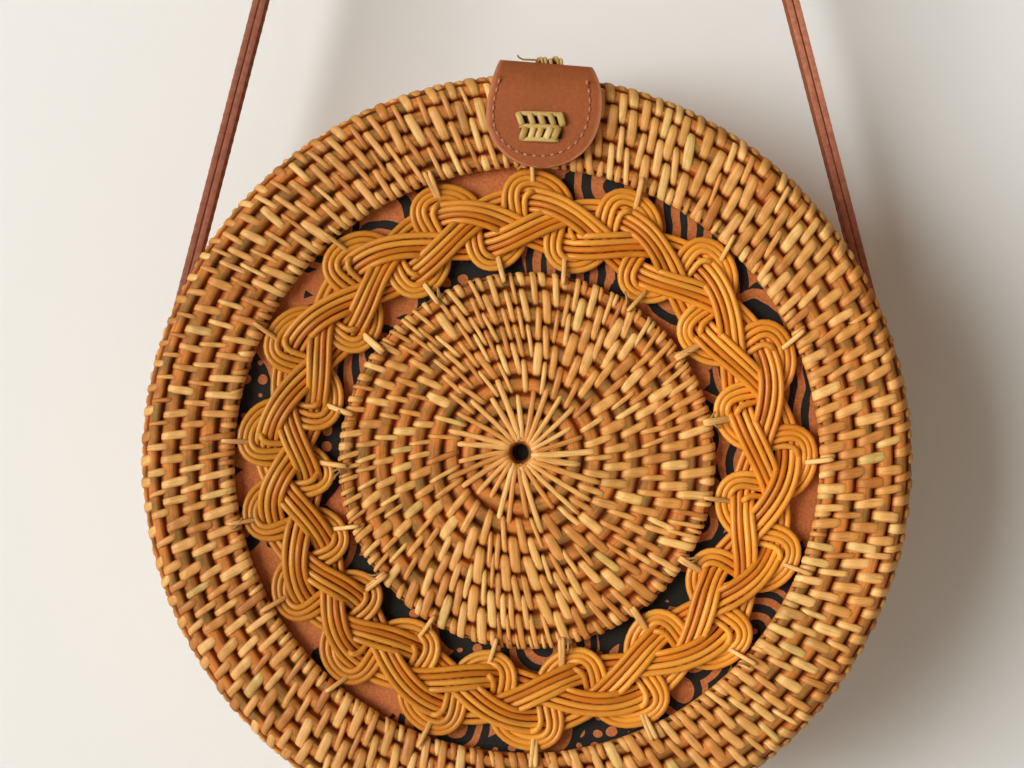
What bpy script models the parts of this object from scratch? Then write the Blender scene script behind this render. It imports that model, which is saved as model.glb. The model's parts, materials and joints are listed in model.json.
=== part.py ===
"""A round bag of woven cane: two shallow halves hinged at the foot, a leather closure over the top, a long leather strap.

The front half has a coiled rim ring and a coiled middle disc with an open plait of cane between them, the back half is
coiled all over, and both are lined with cloth. The bag hangs from its strap, whose crown carries the origin: +Z is up,
the front faces -Y, and X runs across the bag.
"""

from math import cos, pi, radians, sin, sqrt, tan

import bmesh
import bpy
from mathutils import Matrix, Vector

MM = 0.001

# The bag's two halves, measured over the crests of the coiled rows.
BAG_RADIUS = 100 * MM
HALF_DEPTH = 36 * MM
CORNER_RADIUS = 6 * MM
WALL = 4.2 * MM
ROW_PITCH = 4.85 * MM
ROW_RELIEF = 0.9 * MM
PARTING_GAP = 0.4 * MM
INNER_CHAMFER = 2 * MM
FIT_GAP = 0.3 * MM
MERGE_WITHIN = 0.004 * MM
TURN_STEPS = 36
BEND_STEPS = 3
TIP_STEPS = 5
TIP_TURN = radians(80)

# The front face: rim ring, open plait, middle disc.
WINDOW_SHARE = 0.753
DISC_SHARE = 0.487
EYE_RADIUS = 2.2 * MM
HUB_RADIUS = 4.4 * MM

# The plait is two endless flat canes. The looping cane swings between disc and ring once a unit.
# The running cane goes round three times, one wave in three units, and threads itself and the loops.
PLAIT_UNITS = 17
RUNNING_LAPS = 3
LOOP_SWING_SHARE = 0.82
LOOP_BULGE_SHARE = 0.124
LOOP_BULGE_TURN = radians(-25)
LOOP_OFFSET_SHARE = 0.015
RUNNING_SWING_SHARE = 0.429
RUNNING_PHASE_SHARE = 1.9
CANE_WIDTH_SHARE = 0.24
CANE_THICKNESS = 0.9 * MM
LOOP_RISE = 1.75 * MM
LOOP_SECOND_RISE = 1.15 * MM
LOOP_SINK = 1.07 * MM
LOOP_LOW_SHARE = 0.11
PLAIT_SINK = 2.6 * MM
RUNNING_RISE = 1.52 * MM
RUNNING_SECOND_RISE = 0.2 * MM
RUNNING_HIGH_SHARE = 0.901
LOOP_POINTS_PER_UNIT = 15
RUNNING_POINTS_PER_UNIT = 5

# Cloth lining of each half: a round panel and a band.
CLOTH = 1.2 * MM
PANEL_INSET = 2.5 * MM
HEM_INSET = 0.8 * MM

# The foot hinge: cane loops of both halves round one cane pin.
PIN_RADIUS = 1.2 * MM
PIN_CLEARANCE = 0.3 * MM
KNUCKLE_WALL = 0.9 * MM
KNUCKLE_WIDTH = 7.4 * MM
KNUCKLE_SPACE = 0.5 * MM
KNUCKLE_ARM = 14 * MM
PIN_OVERHANG = 2 * MM
ROUND_STEPS = 20

# The leather tab that hangs over the front and is tied to the front half.
TAB_OFFSET = 4 * MM
TAB_WIDTH = 29.4 * MM
TAB_TOP_WIDTH = 23.6 * MM
TAB_DROP = 24 * MM
TAB_ROUND_END = 14.5 * MM
LEATHER = 2.2 * MM
FOLD_DEPTH = 20 * MM
TONGUE_WIDTH = 20 * MM
TONGUE_LENGTH = 36 * MM
TONGUE_ROUND_END = 9 * MM
TONGUE_RAMP = 12 * MM
TONGUE_SETBACK = 4 * MM
RAMP_STEPS = 6

# Woven ties of split cane that hold the leather.
FRONT_TIE = Vector((13.8 * MM, 1.3 * MM, 7.5 * MM))
FRONT_TIE_HEIGHT = 13 * MM
TOP_TIE = Vector((6.8 * MM, 5 * MM, 2.6 * MM))
TOP_TIE_OFFSET = 2 * MM
TOP_TIE_SETBACK = 9.5 * MM
KEEPER_TIE = Vector((9 * MM, 4.4 * MM, 1.6 * MM))
TIE_ROUNDING = 0.5 * MM

# The keeper on the back half, with the lower of two flat magnets.
KEEPER_LEATHER = 1.6 * MM
KEEPER_START = 3 * MM
KEEPER_LENGTH = 27 * MM
KEEPER_WIDTH = 20 * MM
KEEPER_ROUND_END = 5 * MM
MAGNET_RADIUS = 6 * MM
MAGNET_THICKNESS = 1 * MM
MAGNET_DEPTH = 10.5 * MM

# The strap: two layers of leather, from one side of the back half over the crown to the other.
STRAP_LEAN = radians(14.5)
STRAP_STANDOFF = 1.2 * MM
STRAP_LAYER = 2 * MM
STRAP_SEAM = 0.2 * MM
STRAP_WIDTH = 10 * MM
STRAP_SETBACK = 5 * MM
STRAP_TAIL = 8 * MM
CROWN_RADIUS = 18 * MM
CROWN_FACETS = 8

# Round lashings that the strap's ends turn on.
LASHING_RADIUS = 2 * MM
LASHING_HEAD_RADIUS = 3.4 * MM
LASHING_HEAD = 0.9 * MM
LASHING_CROWN_SHARE = 0.6
LASHING_CLEARANCE = 0.3 * MM
LASHING_STEPS = 16
CUT_OVERRUN = 10 * MM

# Places worked out from the sizes above.
WINDOW_RADIUS = BAG_RADIUS * WINDOW_SHARE
DISC_RADIUS = BAG_RADIUS * DISC_SHARE
PLAIT_RADIUS = (WINDOW_RADIUS + DISC_RADIUS) / 2
PLAIT_REACH = (WINDOW_RADIUS - DISC_RADIUS) / 2
LOOP_SWING = PLAIT_REACH * LOOP_SWING_SHARE
RUNNING_SWING = PLAIT_REACH * RUNNING_SWING_SHARE
CANE_WIDTH = PLAIT_REACH * CANE_WIDTH_SHARE
STRAP_INSIDE = BAG_RADIUS + STRAP_STANDOFF
STRAP_THICKNESS = 2 * STRAP_LAYER + STRAP_SEAM
CENTRE_Z = -CROWN_RADIUS - (STRAP_INSIDE - CROWN_RADIUS) / sin(STRAP_LEAN)
BAG_CENTRE = Vector((0, -STRAP_SETBACK, CENTRE_Z))
SWING_HEIGHT = STRAP_INSIDE * sin(STRAP_LEAN)
SWING_AXIS = BAG_CENTRE + Vector((0, STRAP_SETBACK, SWING_HEIGHT))
KNUCKLE_RADIUS = PIN_RADIUS + PIN_CLEARANCE + KNUCKLE_WALL
HINGE_AXIS = BAG_CENTRE - Vector((0, 0, BAG_RADIUS + KNUCKLE_RADIUS + PARTING_GAP))
WALL_TOP = BAG_RADIUS + FIT_GAP
FOLD_HEIGHT = WALL_TOP + LEATHER / 2
FOLD_AXIS = BAG_CENTRE + Vector((TAB_OFFSET, FOLD_DEPTH - HALF_DEPTH, FOLD_HEIGHT))
MAGNET_SEAT = WALL_TOP + KEEPER_LEATHER + FIT_GAP
TONGUE_REST = MAGNET_SEAT + 2 * MAGNET_THICKNESS + 2 * FIT_GAP


def clear_scene():
    for obj in list(bpy.data.objects):
        bpy.data.objects.remove(obj, do_unlink=True)


def finish(name, color, roughness, metallic=0.0):
    """A Principled material."""
    material = bpy.data.materials.new(name)
    material.use_nodes = True
    shader = material.node_tree.nodes["Principled BSDF"]
    shader.inputs["Base Color"].default_value = (*color, 1)
    shader.inputs["Roughness"].default_value = roughness
    shader.inputs["Metallic"].default_value = metallic
    return material


def axis_empty(name, where, parent=None):
    """An empty on a joint's axis. What moves with the joint is its child."""
    empty = bpy.data.objects.new(name, None)
    bpy.context.collection.objects.link(empty)
    hang(empty, where, parent)
    empty["place"] = where
    return empty


def hang(obj, where, parent):
    """Sets an object's place in the world, under a parent that is moved but not turned."""
    obj.parent = parent
    obj.location = where - (Vector(parent["place"]) if parent else Vector())


def add(name, bm, material, where, parent=None):
    """Makes the object of a bmesh whose points are measured from its place."""
    bmesh.ops.recalc_face_normals(bm, faces=bm.faces)
    mesh = bpy.data.meshes.new(name)
    bm.to_mesh(mesh)
    bm.free()
    mesh.shade_smooth()
    mesh.set_sharp_from_angle(angle=radians(35))
    mesh.materials.append(material)
    obj = bpy.data.objects.new(name, mesh)
    bpy.context.collection.objects.link(obj)
    hang(obj, where, parent)
    return obj


def turned(profile, closed, steps, axis=(0, 1, 0)):
    """A bmesh turned from (radius, height) points, closed on itself or ending on the axis."""
    bm = bmesh.new()
    up = Vector(axis)
    out = Vector((0, 0, 1)) if up.x else Vector((1, 0, 0))
    points = [bm.verts.new(out * radius + up * height) for radius, height in profile]
    for start, end in zip(points, points[1:]):
        bm.edges.new((start, end))
    if closed:
        bm.edges.new((points[-1], points[0]))
    bmesh.ops.spin(bm, geom=bm.verts[:] + bm.edges[:], axis=up, cent=(0, 0, 0), angle=2 * pi, steps=steps,
                   use_merge=True)
    bmesh.ops.remove_doubles(bm, verts=bm.verts, dist=MERGE_WITHIN)
    return bm


def swept(rings, closed=False):
    """A bmesh through rings of points, joined end to end or capped."""
    bm = bmesh.new()
    loops = [[bm.verts.new(point) for point in ring] for ring in rings]
    pairs = list(zip(loops, loops[1:])) + ([(loops[-1], loops[0])] if closed else [])
    for here, there in pairs:
        for i in range(len(here)):
            j = (i + 1) % len(here)
            bm.faces.new((here[i], here[j], there[j], there[i]))
    if not closed:
        bm.faces.new(loops[0])
        bm.faces.new(loops[-1])
    return bm


def block(size, rounding):
    """A bmesh block with bevelled edges, centred on its place."""
    bm = bmesh.new()
    bmesh.ops.create_cube(bm, size=1)
    bmesh.ops.scale(bm, vec=size, verts=bm.verts)
    bmesh.ops.bevel(bm, geom=bm.edges[:], offset=rounding, segments=2, profile=0.5, affect="EDGES")
    return bm


def coiled_rows(length, surface):
    """Profile points of coiled rows along a surface: a valley at each row's edge, a crest at its middle."""
    rows = round(length / ROW_PITCH)
    points = []
    for step in range(2 * rows + 1):
        place, outward = surface(length * step / (2 * rows))
        points.append(place - outward * (0 if step % 2 else ROW_RELIEF))
    return points


def shell_profile(inner_radius, side):
    """Rows from the face's inner edge round the corner to the parting plane, then the plain inside back."""
    face = BAG_RADIUS - CORNER_RADIUS - inner_radius
    bend = CORNER_RADIUS * pi / 2
    wall = HALF_DEPTH - CORNER_RADIUS - PARTING_GAP / 2
    bend_centre = Vector((BAG_RADIUS - CORNER_RADIUS, side * (HALF_DEPTH - CORNER_RADIUS)))

    def surface(along):
        if along <= face:
            return Vector((inner_radius + along, side * HALF_DEPTH)), Vector((0, side))
        if along <= face + bend:
            turn = (along - face) / CORNER_RADIUS
            outward = Vector((sin(turn), side * cos(turn)))
            return bend_centre + outward * CORNER_RADIUS, outward
        down = along - face - bend
        return Vector((BAG_RADIUS, side * (HALF_DEPTH - CORNER_RADIUS - down))), Vector((1, 0))

    floor = side * (HALF_DEPTH - WALL)
    inside = [
        (BAG_RADIUS - WALL, side * PARTING_GAP / 2),
        (BAG_RADIUS - WALL, floor - side * INNER_CHAMFER),
        (BAG_RADIUS - WALL - INNER_CHAMFER, floor),
    ]
    return coiled_rows(face + bend + wall, surface), inside, floor


def front_rim(material, parent):
    rows, inside, floor = shell_profile(WINDOW_RADIUS, -1)
    profile = rows + inside + [(WINDOW_RADIUS, floor)]
    return add("front_rim_shell", turned(profile, True, TURN_STEPS), material, BAG_CENTRE, parent)


def front_disc(material, parent):
    rows = coiled_rows(DISC_RADIUS - EYE_RADIUS,
                       lambda along: (Vector((EYE_RADIUS + along, -HALF_DEPTH)), Vector((0, -1))))
    floor = WALL - HALF_DEPTH
    profile = rows + [(DISC_RADIUS, floor), (EYE_RADIUS, floor)]
    return add("front_disc", turned(profile, True, TURN_STEPS), material, BAG_CENTRE, parent)


def back_shell(material, parent):
    rows, inside, floor = shell_profile(HUB_RADIUS, 1)
    profile = [(0, HALF_DEPTH), (HUB_RADIUS, HALF_DEPTH)] + rows + inside + [(0, floor)]
    return add("back_shell", turned(profile, False, TURN_STEPS), material, BAG_CENTRE, parent)


def loop_path(unit):
    """The looping cane's radius, place in units and rise at a point of its length."""
    turn = 2 * pi * unit
    low = turn - 2 * pi * LOOP_LOW_SHARE
    radius = PLAIT_RADIUS + LOOP_SWING * cos(turn)
    place = unit + LOOP_BULGE_SHARE * sin(2 * turn + LOOP_BULGE_TURN) + LOOP_OFFSET_SHARE
    rise = LOOP_SECOND_RISE * cos(4 * low) - LOOP_RISE * cos(2 * low) - LOOP_SINK
    return radius, place, rise


def running_path(unit):
    """The running cane's radius, place in units and rise at a point of its length."""
    turn = 2 * pi * (unit - RUNNING_PHASE_SHARE) / RUNNING_LAPS
    high = 4 * pi * (unit - RUNNING_HIGH_SHARE) / RUNNING_LAPS
    radius = PLAIT_RADIUS + RUNNING_SWING * cos(turn)
    rise = RUNNING_RISE * cos(high) + RUNNING_SECOND_RISE * cos(2 * high)
    return radius, unit, rise


def plait_cane(name, path, laps, points_per_unit, material, parent):
    """A flat cane along a path in the face's plane, with its rise towards the front."""
    middle = WALL - HALF_DEPTH - CANE_THICKNESS / 2 - PLAIT_SINK

    def point(unit):
        radius, place, rise = path(unit)
        turn = 2 * pi * place / PLAIT_UNITS
        return Vector((radius * sin(turn), middle - rise, radius * cos(turn)))

    count = PLAIT_UNITS * laps * points_per_unit
    rings = []
    for step in range(count):
        unit = step / points_per_unit
        ahead = point(unit + 1 / count) - point(unit - 1 / count)
        across = Vector((ahead.z, 0, -ahead.x)).normalized() * CANE_WIDTH / 2
        rise = Vector((0, CANE_THICKNESS / 2, 0))
        centre = point(unit)
        rings.append([centre - across - rise, centre + across - rise, centre + across + rise, centre - across + rise])
    return add(name, swept(rings, closed=True), material, BAG_CENTRE, parent)


def lining(side, name, material, parent):
    """A half's cloth: a round panel on the inside of the face and a band round the wall."""
    panel_back = HALF_DEPTH - WALL - FIT_GAP
    panel_radius = BAG_RADIUS - WALL - PANEL_INSET
    panel = [(0, side * panel_back), (panel_radius, side * panel_back),
             (panel_radius, side * (panel_back - CLOTH)), (0, side * (panel_back - CLOTH))]
    add(name + "_lining_panel", turned(panel, False, TURN_STEPS), material, BAG_CENTRE, parent)
    outer = BAG_RADIUS - WALL - FIT_GAP
    low = side * (panel_back - INNER_CHAMFER)
    high = side * (PARTING_GAP / 2 + HEM_INSET)
    band = [(outer, low), (outer, high), (outer - CLOTH, high), (outer - CLOTH, low)]
    add(name + "_lining_band", turned(band, True, TURN_STEPS), material, BAG_CENTRE, parent)


def hinge_loop(name, across, side, material, parent):
    """A cane loop round the hinge pin with a flat arm under its half's wall."""
    outer = KNUCKLE_RADIUS
    bore = PIN_RADIUS + PIN_CLEARANCE
    top = KNUCKLE_RADIUS + PARTING_GAP - FIT_GAP
    bm = bmesh.new()
    ring = [Vector((0, outer * cos(turn), outer * sin(turn)))
            for turn in (2 * pi * step / ROUND_STEPS for step in range(ROUND_STEPS))]
    hole = [point * (bore / outer) for point in ring]
    edges = []
    for loop in (ring, hole):
        points = [bm.verts.new(point) for point in loop]
        edges += [bm.edges.new((points[i - 1], points[i])) for i in range(len(points))]
    bmesh.ops.triangle_fill(bm, edges=edges, use_beauty=True)
    pushed = bmesh.ops.extrude_face_region(bm, geom=bm.faces[:])
    moved = [item for item in pushed["geom"] if isinstance(item, bmesh.types.BMVert)]
    bmesh.ops.translate(bm, verts=moved, vec=(KNUCKLE_WIDTH, 0, 0))
    bmesh.ops.translate(bm, verts=bm.verts, vec=(-KNUCKLE_WIDTH / 2, 0, 0))
    loop = add(name, bm, material, HINGE_AXIS + Vector((across, 0, 0)), parent)

    arm = block(Vector((KNUCKLE_WIDTH, KNUCKLE_ARM, KNUCKLE_WALL)), KNUCKLE_WALL / 4)
    shift = Vector((across, side * (KNUCKLE_ARM / 2 + bore / 2), top - KNUCKLE_WALL / 2))
    arm = add(name + "_arm_tool", arm, material, HINGE_AXIS + shift, parent)
    joined(loop, arm, "UNION")
    return loop


def joined(obj, tool, operation):
    """A live Boolean with a hidden tool."""
    tool.hide_render = True
    tool.display_type = "WIRE"
    modifier = obj.modifiers.new(operation.lower(), "BOOLEAN")
    modifier.operation = operation
    modifier.object = tool
    modifier.solver = "EXACT"


def hinge(material, front, back):
    pitch = KNUCKLE_WIDTH + KNUCKLE_SPACE
    hinge_loop("front_hinge_loop_left", -pitch, -1, material, front)
    hinge_loop("front_hinge_loop_right", pitch, -1, material, front)
    hinge_loop("back_hinge_loop", 0, 1, material, back)
    half = pitch + KNUCKLE_WIDTH / 2 + PIN_OVERHANG
    profile = [(0, -half), (PIN_RADIUS, -half), (PIN_RADIUS, half), (0, half)]
    add("hinge_pin", turned(profile, False, ROUND_STEPS, (1, 0, 0)), material, HINGE_AXIS, back)


def round_end(round_length):
    """Shares of a strip's half-width, with their distances along it, from a rounded tip to the full width."""
    turns = [TIP_TURN * (1 - step / TIP_STEPS) for step in range(TIP_STEPS + 1)]
    return [(round_length * (1 - sin(turn) / sin(TIP_TURN)), cos(turn)) for turn in turns]


def front_tab(material, parent):
    """Leather that hangs over the front face, bends round the corner and runs back to the fold."""
    bend_centre = Vector((0, CORNER_RADIUS - HALF_DEPTH, BAG_RADIUS - CORNER_RADIUS))
    inside = CORNER_RADIUS + FIT_GAP
    drop = TAB_DROP - CORNER_RADIUS
    rings = []

    def ring(place, outward, half_width):
        inner = place + outward * inside
        outer = place + outward * (inside + LEATHER)
        side = Vector((half_width, 0, 0))
        rings.append([inner - side, inner + side, outer + side, outer - side])

    for up, share in round_end(TAB_ROUND_END):
        ring(bend_centre + Vector((0, 0, up - drop)), Vector((0, -1, 0)), share * TAB_WIDTH / 2)
    for step in range(BEND_STEPS + 1):
        turn = pi / 2 * step / BEND_STEPS
        width = TAB_WIDTH + (TAB_TOP_WIDTH - TAB_WIDTH) * (step + 1) / (BEND_STEPS + 1)
        ring(bend_centre, Vector((0, -cos(turn), sin(turn))), width / 2)
    back = FOLD_DEPTH - HALF_DEPTH - LEATHER / 2 - FIT_GAP
    ring(Vector((0, back, bend_centre.z)), Vector((0, 0, 1)), TAB_TOP_WIDTH / 2)
    return add("front_tab", swept(rings), material, BAG_CENTRE + Vector((TAB_OFFSET, 0, 0)), parent)


def closure_tongue(material, parent):
    """Leather from the fold back over the parting to the catch, rising over the magnets."""
    half = LEATHER / 2
    lift = TONGUE_REST + half - FOLD_HEIGHT
    rings = []

    def ring(y, z, half_thickness, half_width):
        rings.append([Vector((x, y, z + up)) for x, up in (
            (-half_width, -half_thickness), (half_width, -half_thickness),
            (half_width, half_thickness), (-half_width, half_thickness))])

    for step in range(1, BEND_STEPS + 1):
        turn = pi / 2 * step / BEND_STEPS
        ring(-half * cos(turn), 0, half * sin(turn), TONGUE_WIDTH / 2)
    for step in range(RAMP_STEPS + 1):
        share = step / RAMP_STEPS
        ring(TONGUE_SETBACK + TONGUE_RAMP * share, lift * (1 - cos(pi * share)) / 2, half, TONGUE_WIDTH / 2)
    for distance, share in reversed(round_end(TONGUE_ROUND_END)):
        ring(TONGUE_LENGTH - distance, lift, half, share * TONGUE_WIDTH / 2)
    return add("closure_tongue", swept(rings), material, FOLD_AXIS, parent)


def back_keeper(material, parent):
    """Leather on top of the back half that the catch is set on."""
    rings = []
    for distance, share in round_end(KEEPER_ROUND_END) + [(KEEPER_LENGTH, 1)]:
        side = share * KEEPER_WIDTH / 2
        rings.append([Vector((x, KEEPER_LENGTH - distance, z)) for x, z in (
            (-side, 0), (side, 0), (side, KEEPER_LEATHER), (-side, KEEPER_LEATHER))])
    where = BAG_CENTRE + Vector((TAB_OFFSET, KEEPER_START, WALL_TOP))
    return add("back_keeper", swept(rings), material, where, parent)


def magnet(name, low, material, parent):
    profile = [(0, 0), (MAGNET_RADIUS, 0), (MAGNET_RADIUS, MAGNET_THICKNESS), (0, MAGNET_THICKNESS)]
    where = BAG_CENTRE + Vector((TAB_OFFSET, MAGNET_DEPTH, low))
    return add(name, turned(profile, False, ROUND_STEPS, (0, 0, 1)), material, where, parent)


def ties(material, front, back):
    """Woven ties of split cane, one over the tab, one behind its bend and one on the keeper."""
    face = -HALF_DEPTH - FIT_GAP - LEATHER - FIT_GAP
    where = BAG_CENTRE + Vector((TAB_OFFSET, face - FRONT_TIE.y / 2, BAG_RADIUS - FRONT_TIE_HEIGHT))
    add("front_tab_tie", block(FRONT_TIE, TIE_ROUNDING), material, where, front)
    top = WALL_TOP + LEATHER + FIT_GAP
    where = Vector((TAB_OFFSET + TOP_TIE_OFFSET, TOP_TIE_SETBACK - HALF_DEPTH, top + TOP_TIE.z / 2))
    add("top_tab_tie", block(TOP_TIE, TIE_ROUNDING), material, BAG_CENTRE + where, front)
    depth = KEEPER_START + KEEPER_LENGTH - KEEPER_ROUND_END - KEEPER_TIE.y / 2
    where = Vector((TAB_OFFSET, depth, WALL_TOP + KEEPER_LEATHER + FIT_GAP + KEEPER_TIE.z / 2))
    add("back_keeper_tie", block(KEEPER_TIE, TIE_ROUNDING), material, BAG_CENTRE + where, back)


def strap_line(offset, distances):
    """Points of the strap's right arm and crown at an offset from its inner face, then the left arm's."""
    centre = Vector((0, -CROWN_RADIUS))
    reach = CROWN_RADIUS + offset
    step = (pi - 2 * STRAP_LEAN) / CROWN_FACETS
    crown = [centre + Vector((cos(turn), sin(turn))) * (reach / cos(step / 2))
             for turn in (STRAP_LEAN + step * (facet + 0.5) for facet in range(CROWN_FACETS))]
    foot = Vector((STRAP_INSIDE + offset, 0))
    foot = Vector((foot.x * cos(STRAP_LEAN), foot.x * sin(STRAP_LEAN) + CENTRE_Z))
    along = Vector((-sin(STRAP_LEAN), cos(STRAP_LEAN)))
    arm = [foot + along * (distance - STRAP_TAIL) for distance in distances]
    mirrored = [Vector((-point.x, point.y)) for point in reversed(arm)]
    return arm + crown + mirrored


def strap_layer(name, low, bore, material, parent=None):
    tip = round_end(STRAP_WIDTH / 2)
    distances = [distance for distance, share in tip]
    inner = strap_line(low, distances)
    outer = strap_line(low + STRAP_LAYER, distances)
    shares = [share for distance, share in tip]
    shares = shares + [1] * CROWN_FACETS + shares[::-1]
    rings = []
    for near, far, share in zip(inner, outer, shares):
        half = share * STRAP_WIDTH / 2
        rings.append([Vector((near.x, -half, near.y)), Vector((far.x, -half, far.y)),
                      Vector((far.x, half, far.y)), Vector((near.x, half, near.y))])
    layer = add(name, swept(rings), material, Vector(), parent)
    joined(layer, bore, "DIFFERENCE")
    return layer


def lashing_bore(material, parent):
    """The hole on the swing axis, through the back half's walls and both ends of the strap."""
    bore = LASHING_RADIUS + LASHING_CLEARANCE
    half = STRAP_INSIDE + STRAP_THICKNESS + CUT_OVERRUN
    profile = [(0, -half), (bore, -half), (bore, half), (0, half)]
    return add("lashing_bore", turned(profile, False, LASHING_STEPS, (1, 0, 0)), material, SWING_AXIS, parent)


def lashing(name, side, material, parent):
    """A bound peg in the side wall. The underside of its head is coned, to clear the leaning strap as it turns."""
    start = sqrt(BAG_RADIUS ** 2 - SWING_HEIGHT ** 2) - WALL / 2
    strap_face = (STRAP_INSIDE + STRAP_THICKNESS) / cos(STRAP_LEAN) - SWING_HEIGHT * tan(STRAP_LEAN)
    neck = strap_face + LASHING_RADIUS * tan(STRAP_LEAN) + LASHING_CLEARANCE
    rim = strap_face + LASHING_HEAD_RADIUS * tan(STRAP_LEAN) + LASHING_CLEARANCE
    top = rim + LASHING_HEAD
    profile = [(0, start), (LASHING_RADIUS, start), (LASHING_RADIUS, neck), (LASHING_HEAD_RADIUS, rim),
               (LASHING_HEAD_RADIUS, rim + LASHING_HEAD / 3), (LASHING_HEAD_RADIUS * LASHING_CROWN_SHARE, top),
               (0, top)]
    bm = turned(profile, False, LASHING_STEPS, (1, 0, 0))
    if side < 0:
        bmesh.ops.rotate(bm, verts=bm.verts, cent=(0, 0, 0), matrix=Matrix.Rotation(pi, 3, "Z"))
    return add(name, bm, material, SWING_AXIS, parent)


def main():
    clear_scene()
    cane = finish("woven_cane", (0.62, 0.36, 0.15), 0.55)
    amber = finish("amber_cane", (0.72, 0.34, 0.09), 0.4)
    split = finish("split_cane", (0.68, 0.58, 0.28), 0.6)
    leather = finish("tab_leather", (0.38, 0.12, 0.04), 0.6)
    strap_leather = finish("strap_leather", (0.3, 0.1, 0.05), 0.6)
    cloth = finish("lining_cloth", (0.12, 0.05, 0.03), 0.9)
    steel = finish("magnet_steel", (0.6, 0.6, 0.6), 0.3, 1.0)

    back = axis_empty("swing_axis", SWING_AXIS)
    front = axis_empty("hinge_axis", HINGE_AXIS, back)
    tongue = axis_empty("fold_axis", FOLD_AXIS, front)

    bore = lashing_bore(cane, back)
    joined(back_shell(cane, back), bore, "DIFFERENCE")
    front_rim(cane, front)
    front_disc(cane, front)
    plait_cane("plait_looping_cane", loop_path, 1, LOOP_POINTS_PER_UNIT, amber, front)
    plait_cane("plait_running_cane", running_path, RUNNING_LAPS, RUNNING_POINTS_PER_UNIT, amber, front)
    lining(-1, "front", cloth, front)
    lining(1, "back", cloth, back)
    hinge(cane, front, back)
    front_tab(leather, front)
    closure_tongue(leather, tongue)
    back_keeper(leather, back)
    magnet("catch_magnet_lower", MAGNET_SEAT, steel, back)
    magnet("catch_magnet_upper", MAGNET_SEAT + MAGNET_THICKNESS + FIT_GAP, steel, tongue)
    ties(split, front, back)
    strap_layer("strap_inner_layer", 0, bore, strap_leather)
    strap_layer("strap_outer_layer", STRAP_LAYER + STRAP_SEAM, bore, strap_leather)
    lashing("strap_lashing_left", -1, split, back)
    lashing("strap_lashing_right", 1, split, back)


main()
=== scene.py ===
"""Dresses the coiled cane bag: woven rows, openwork plait, printed lining, leather tab, catch and strap."""

import json
from math import atan2, ceil, cos, floor, hypot, pi, radians, sin, sqrt, tan
from random import Random

import bmesh
import bpy
from bpy.props import FloatProperty, FloatVectorProperty, IntProperty, PointerProperty
from bpy.types import Operator, Panel, PropertyGroup
from mathutils import Matrix, Vector, kdtree, noise

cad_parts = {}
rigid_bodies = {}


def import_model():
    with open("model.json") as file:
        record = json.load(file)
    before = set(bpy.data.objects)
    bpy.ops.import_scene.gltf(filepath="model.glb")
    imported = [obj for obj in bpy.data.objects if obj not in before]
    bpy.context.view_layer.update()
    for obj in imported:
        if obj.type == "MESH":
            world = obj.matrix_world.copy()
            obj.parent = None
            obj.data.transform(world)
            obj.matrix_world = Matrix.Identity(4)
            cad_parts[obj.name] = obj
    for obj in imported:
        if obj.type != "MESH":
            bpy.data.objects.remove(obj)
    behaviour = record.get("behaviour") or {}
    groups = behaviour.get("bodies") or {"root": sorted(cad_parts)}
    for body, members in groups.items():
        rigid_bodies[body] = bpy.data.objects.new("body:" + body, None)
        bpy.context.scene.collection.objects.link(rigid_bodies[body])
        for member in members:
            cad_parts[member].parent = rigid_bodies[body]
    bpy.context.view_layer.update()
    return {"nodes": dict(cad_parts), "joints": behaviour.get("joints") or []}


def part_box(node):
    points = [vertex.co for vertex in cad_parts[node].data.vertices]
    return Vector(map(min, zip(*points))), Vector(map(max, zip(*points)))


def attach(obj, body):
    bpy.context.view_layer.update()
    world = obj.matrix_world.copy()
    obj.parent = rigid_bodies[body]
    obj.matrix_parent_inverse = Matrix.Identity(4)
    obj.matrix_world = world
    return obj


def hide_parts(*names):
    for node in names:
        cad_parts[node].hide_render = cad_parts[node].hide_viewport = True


bl_info = {
    "name": "Coiled cane bag",
    "version": (1, 0, 0),
    "blender": (4, 5, 0),
    "location": "View3D > Sidebar > Cane bag",
    "description": "Weaves and dresses a round bag of coiled cane on its packed frame",
    "category": "Add Mesh",
}

MM = 0.001

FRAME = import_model()


def corners_of(node):
    """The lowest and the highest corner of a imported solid."""
    return (Vector(corner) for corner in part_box(node))


# The bag's own measures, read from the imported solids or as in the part's source.
SHELL_LOW, SHELL_HIGH = corners_of("back_shell")
DISC_LOW, DISC_HIGH = corners_of("front_disc")
PARTING_GAP = 0.4 * MM
BAG_RADIUS = (SHELL_HIGH.x - SHELL_LOW.x) / 2
HALF_DEPTH = SHELL_HIGH.y - SHELL_LOW.y + PARTING_GAP / 2
DISC_RADIUS = (DISC_HIGH.x - DISC_LOW.x) / 2
CENTRE = Vector(((SHELL_LOW.x + SHELL_HIGH.x) / 2, SHELL_LOW.y - PARTING_GAP / 2,
                 (SHELL_LOW.z + SHELL_HIGH.z) / 2))
JOINTS = {joint["name"]: Vector(joint["pos_m"]) for joint in FRAME["joints"]}
WINDOW_RADIUS = 0.753 * BAG_RADIUS
WALL = 4.2 * MM
CORNER_RADIUS = 6 * MM
EDGE_RADIUS = 2.1 * MM
FIT_GAP = 0.3 * MM
LEATHER = 2.2 * MM
TAB_MIDDLE = JOINTS["tongue_fold"].x
OUTWARD, UP = Vector((0, -1, 0)), Vector((0, 0, 1))


def settings():
    """The sizes and colours that the panel shows."""
    return bpy.context.scene.cane_bag


# Placing things on the bag

def on_bag(radius, turn, depth):
    """A point at a radius and clockwise turn from the top, at a depth behind the parting plane."""
    return CENTRE + Vector((radius * sin(turn), depth, radius * cos(turn)))


def eased(share):
    """A share from 0 to 1 that starts and ends gently."""
    share = min(max(share, 0), 1)
    return share * share * (3 - 2 * share)


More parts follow.
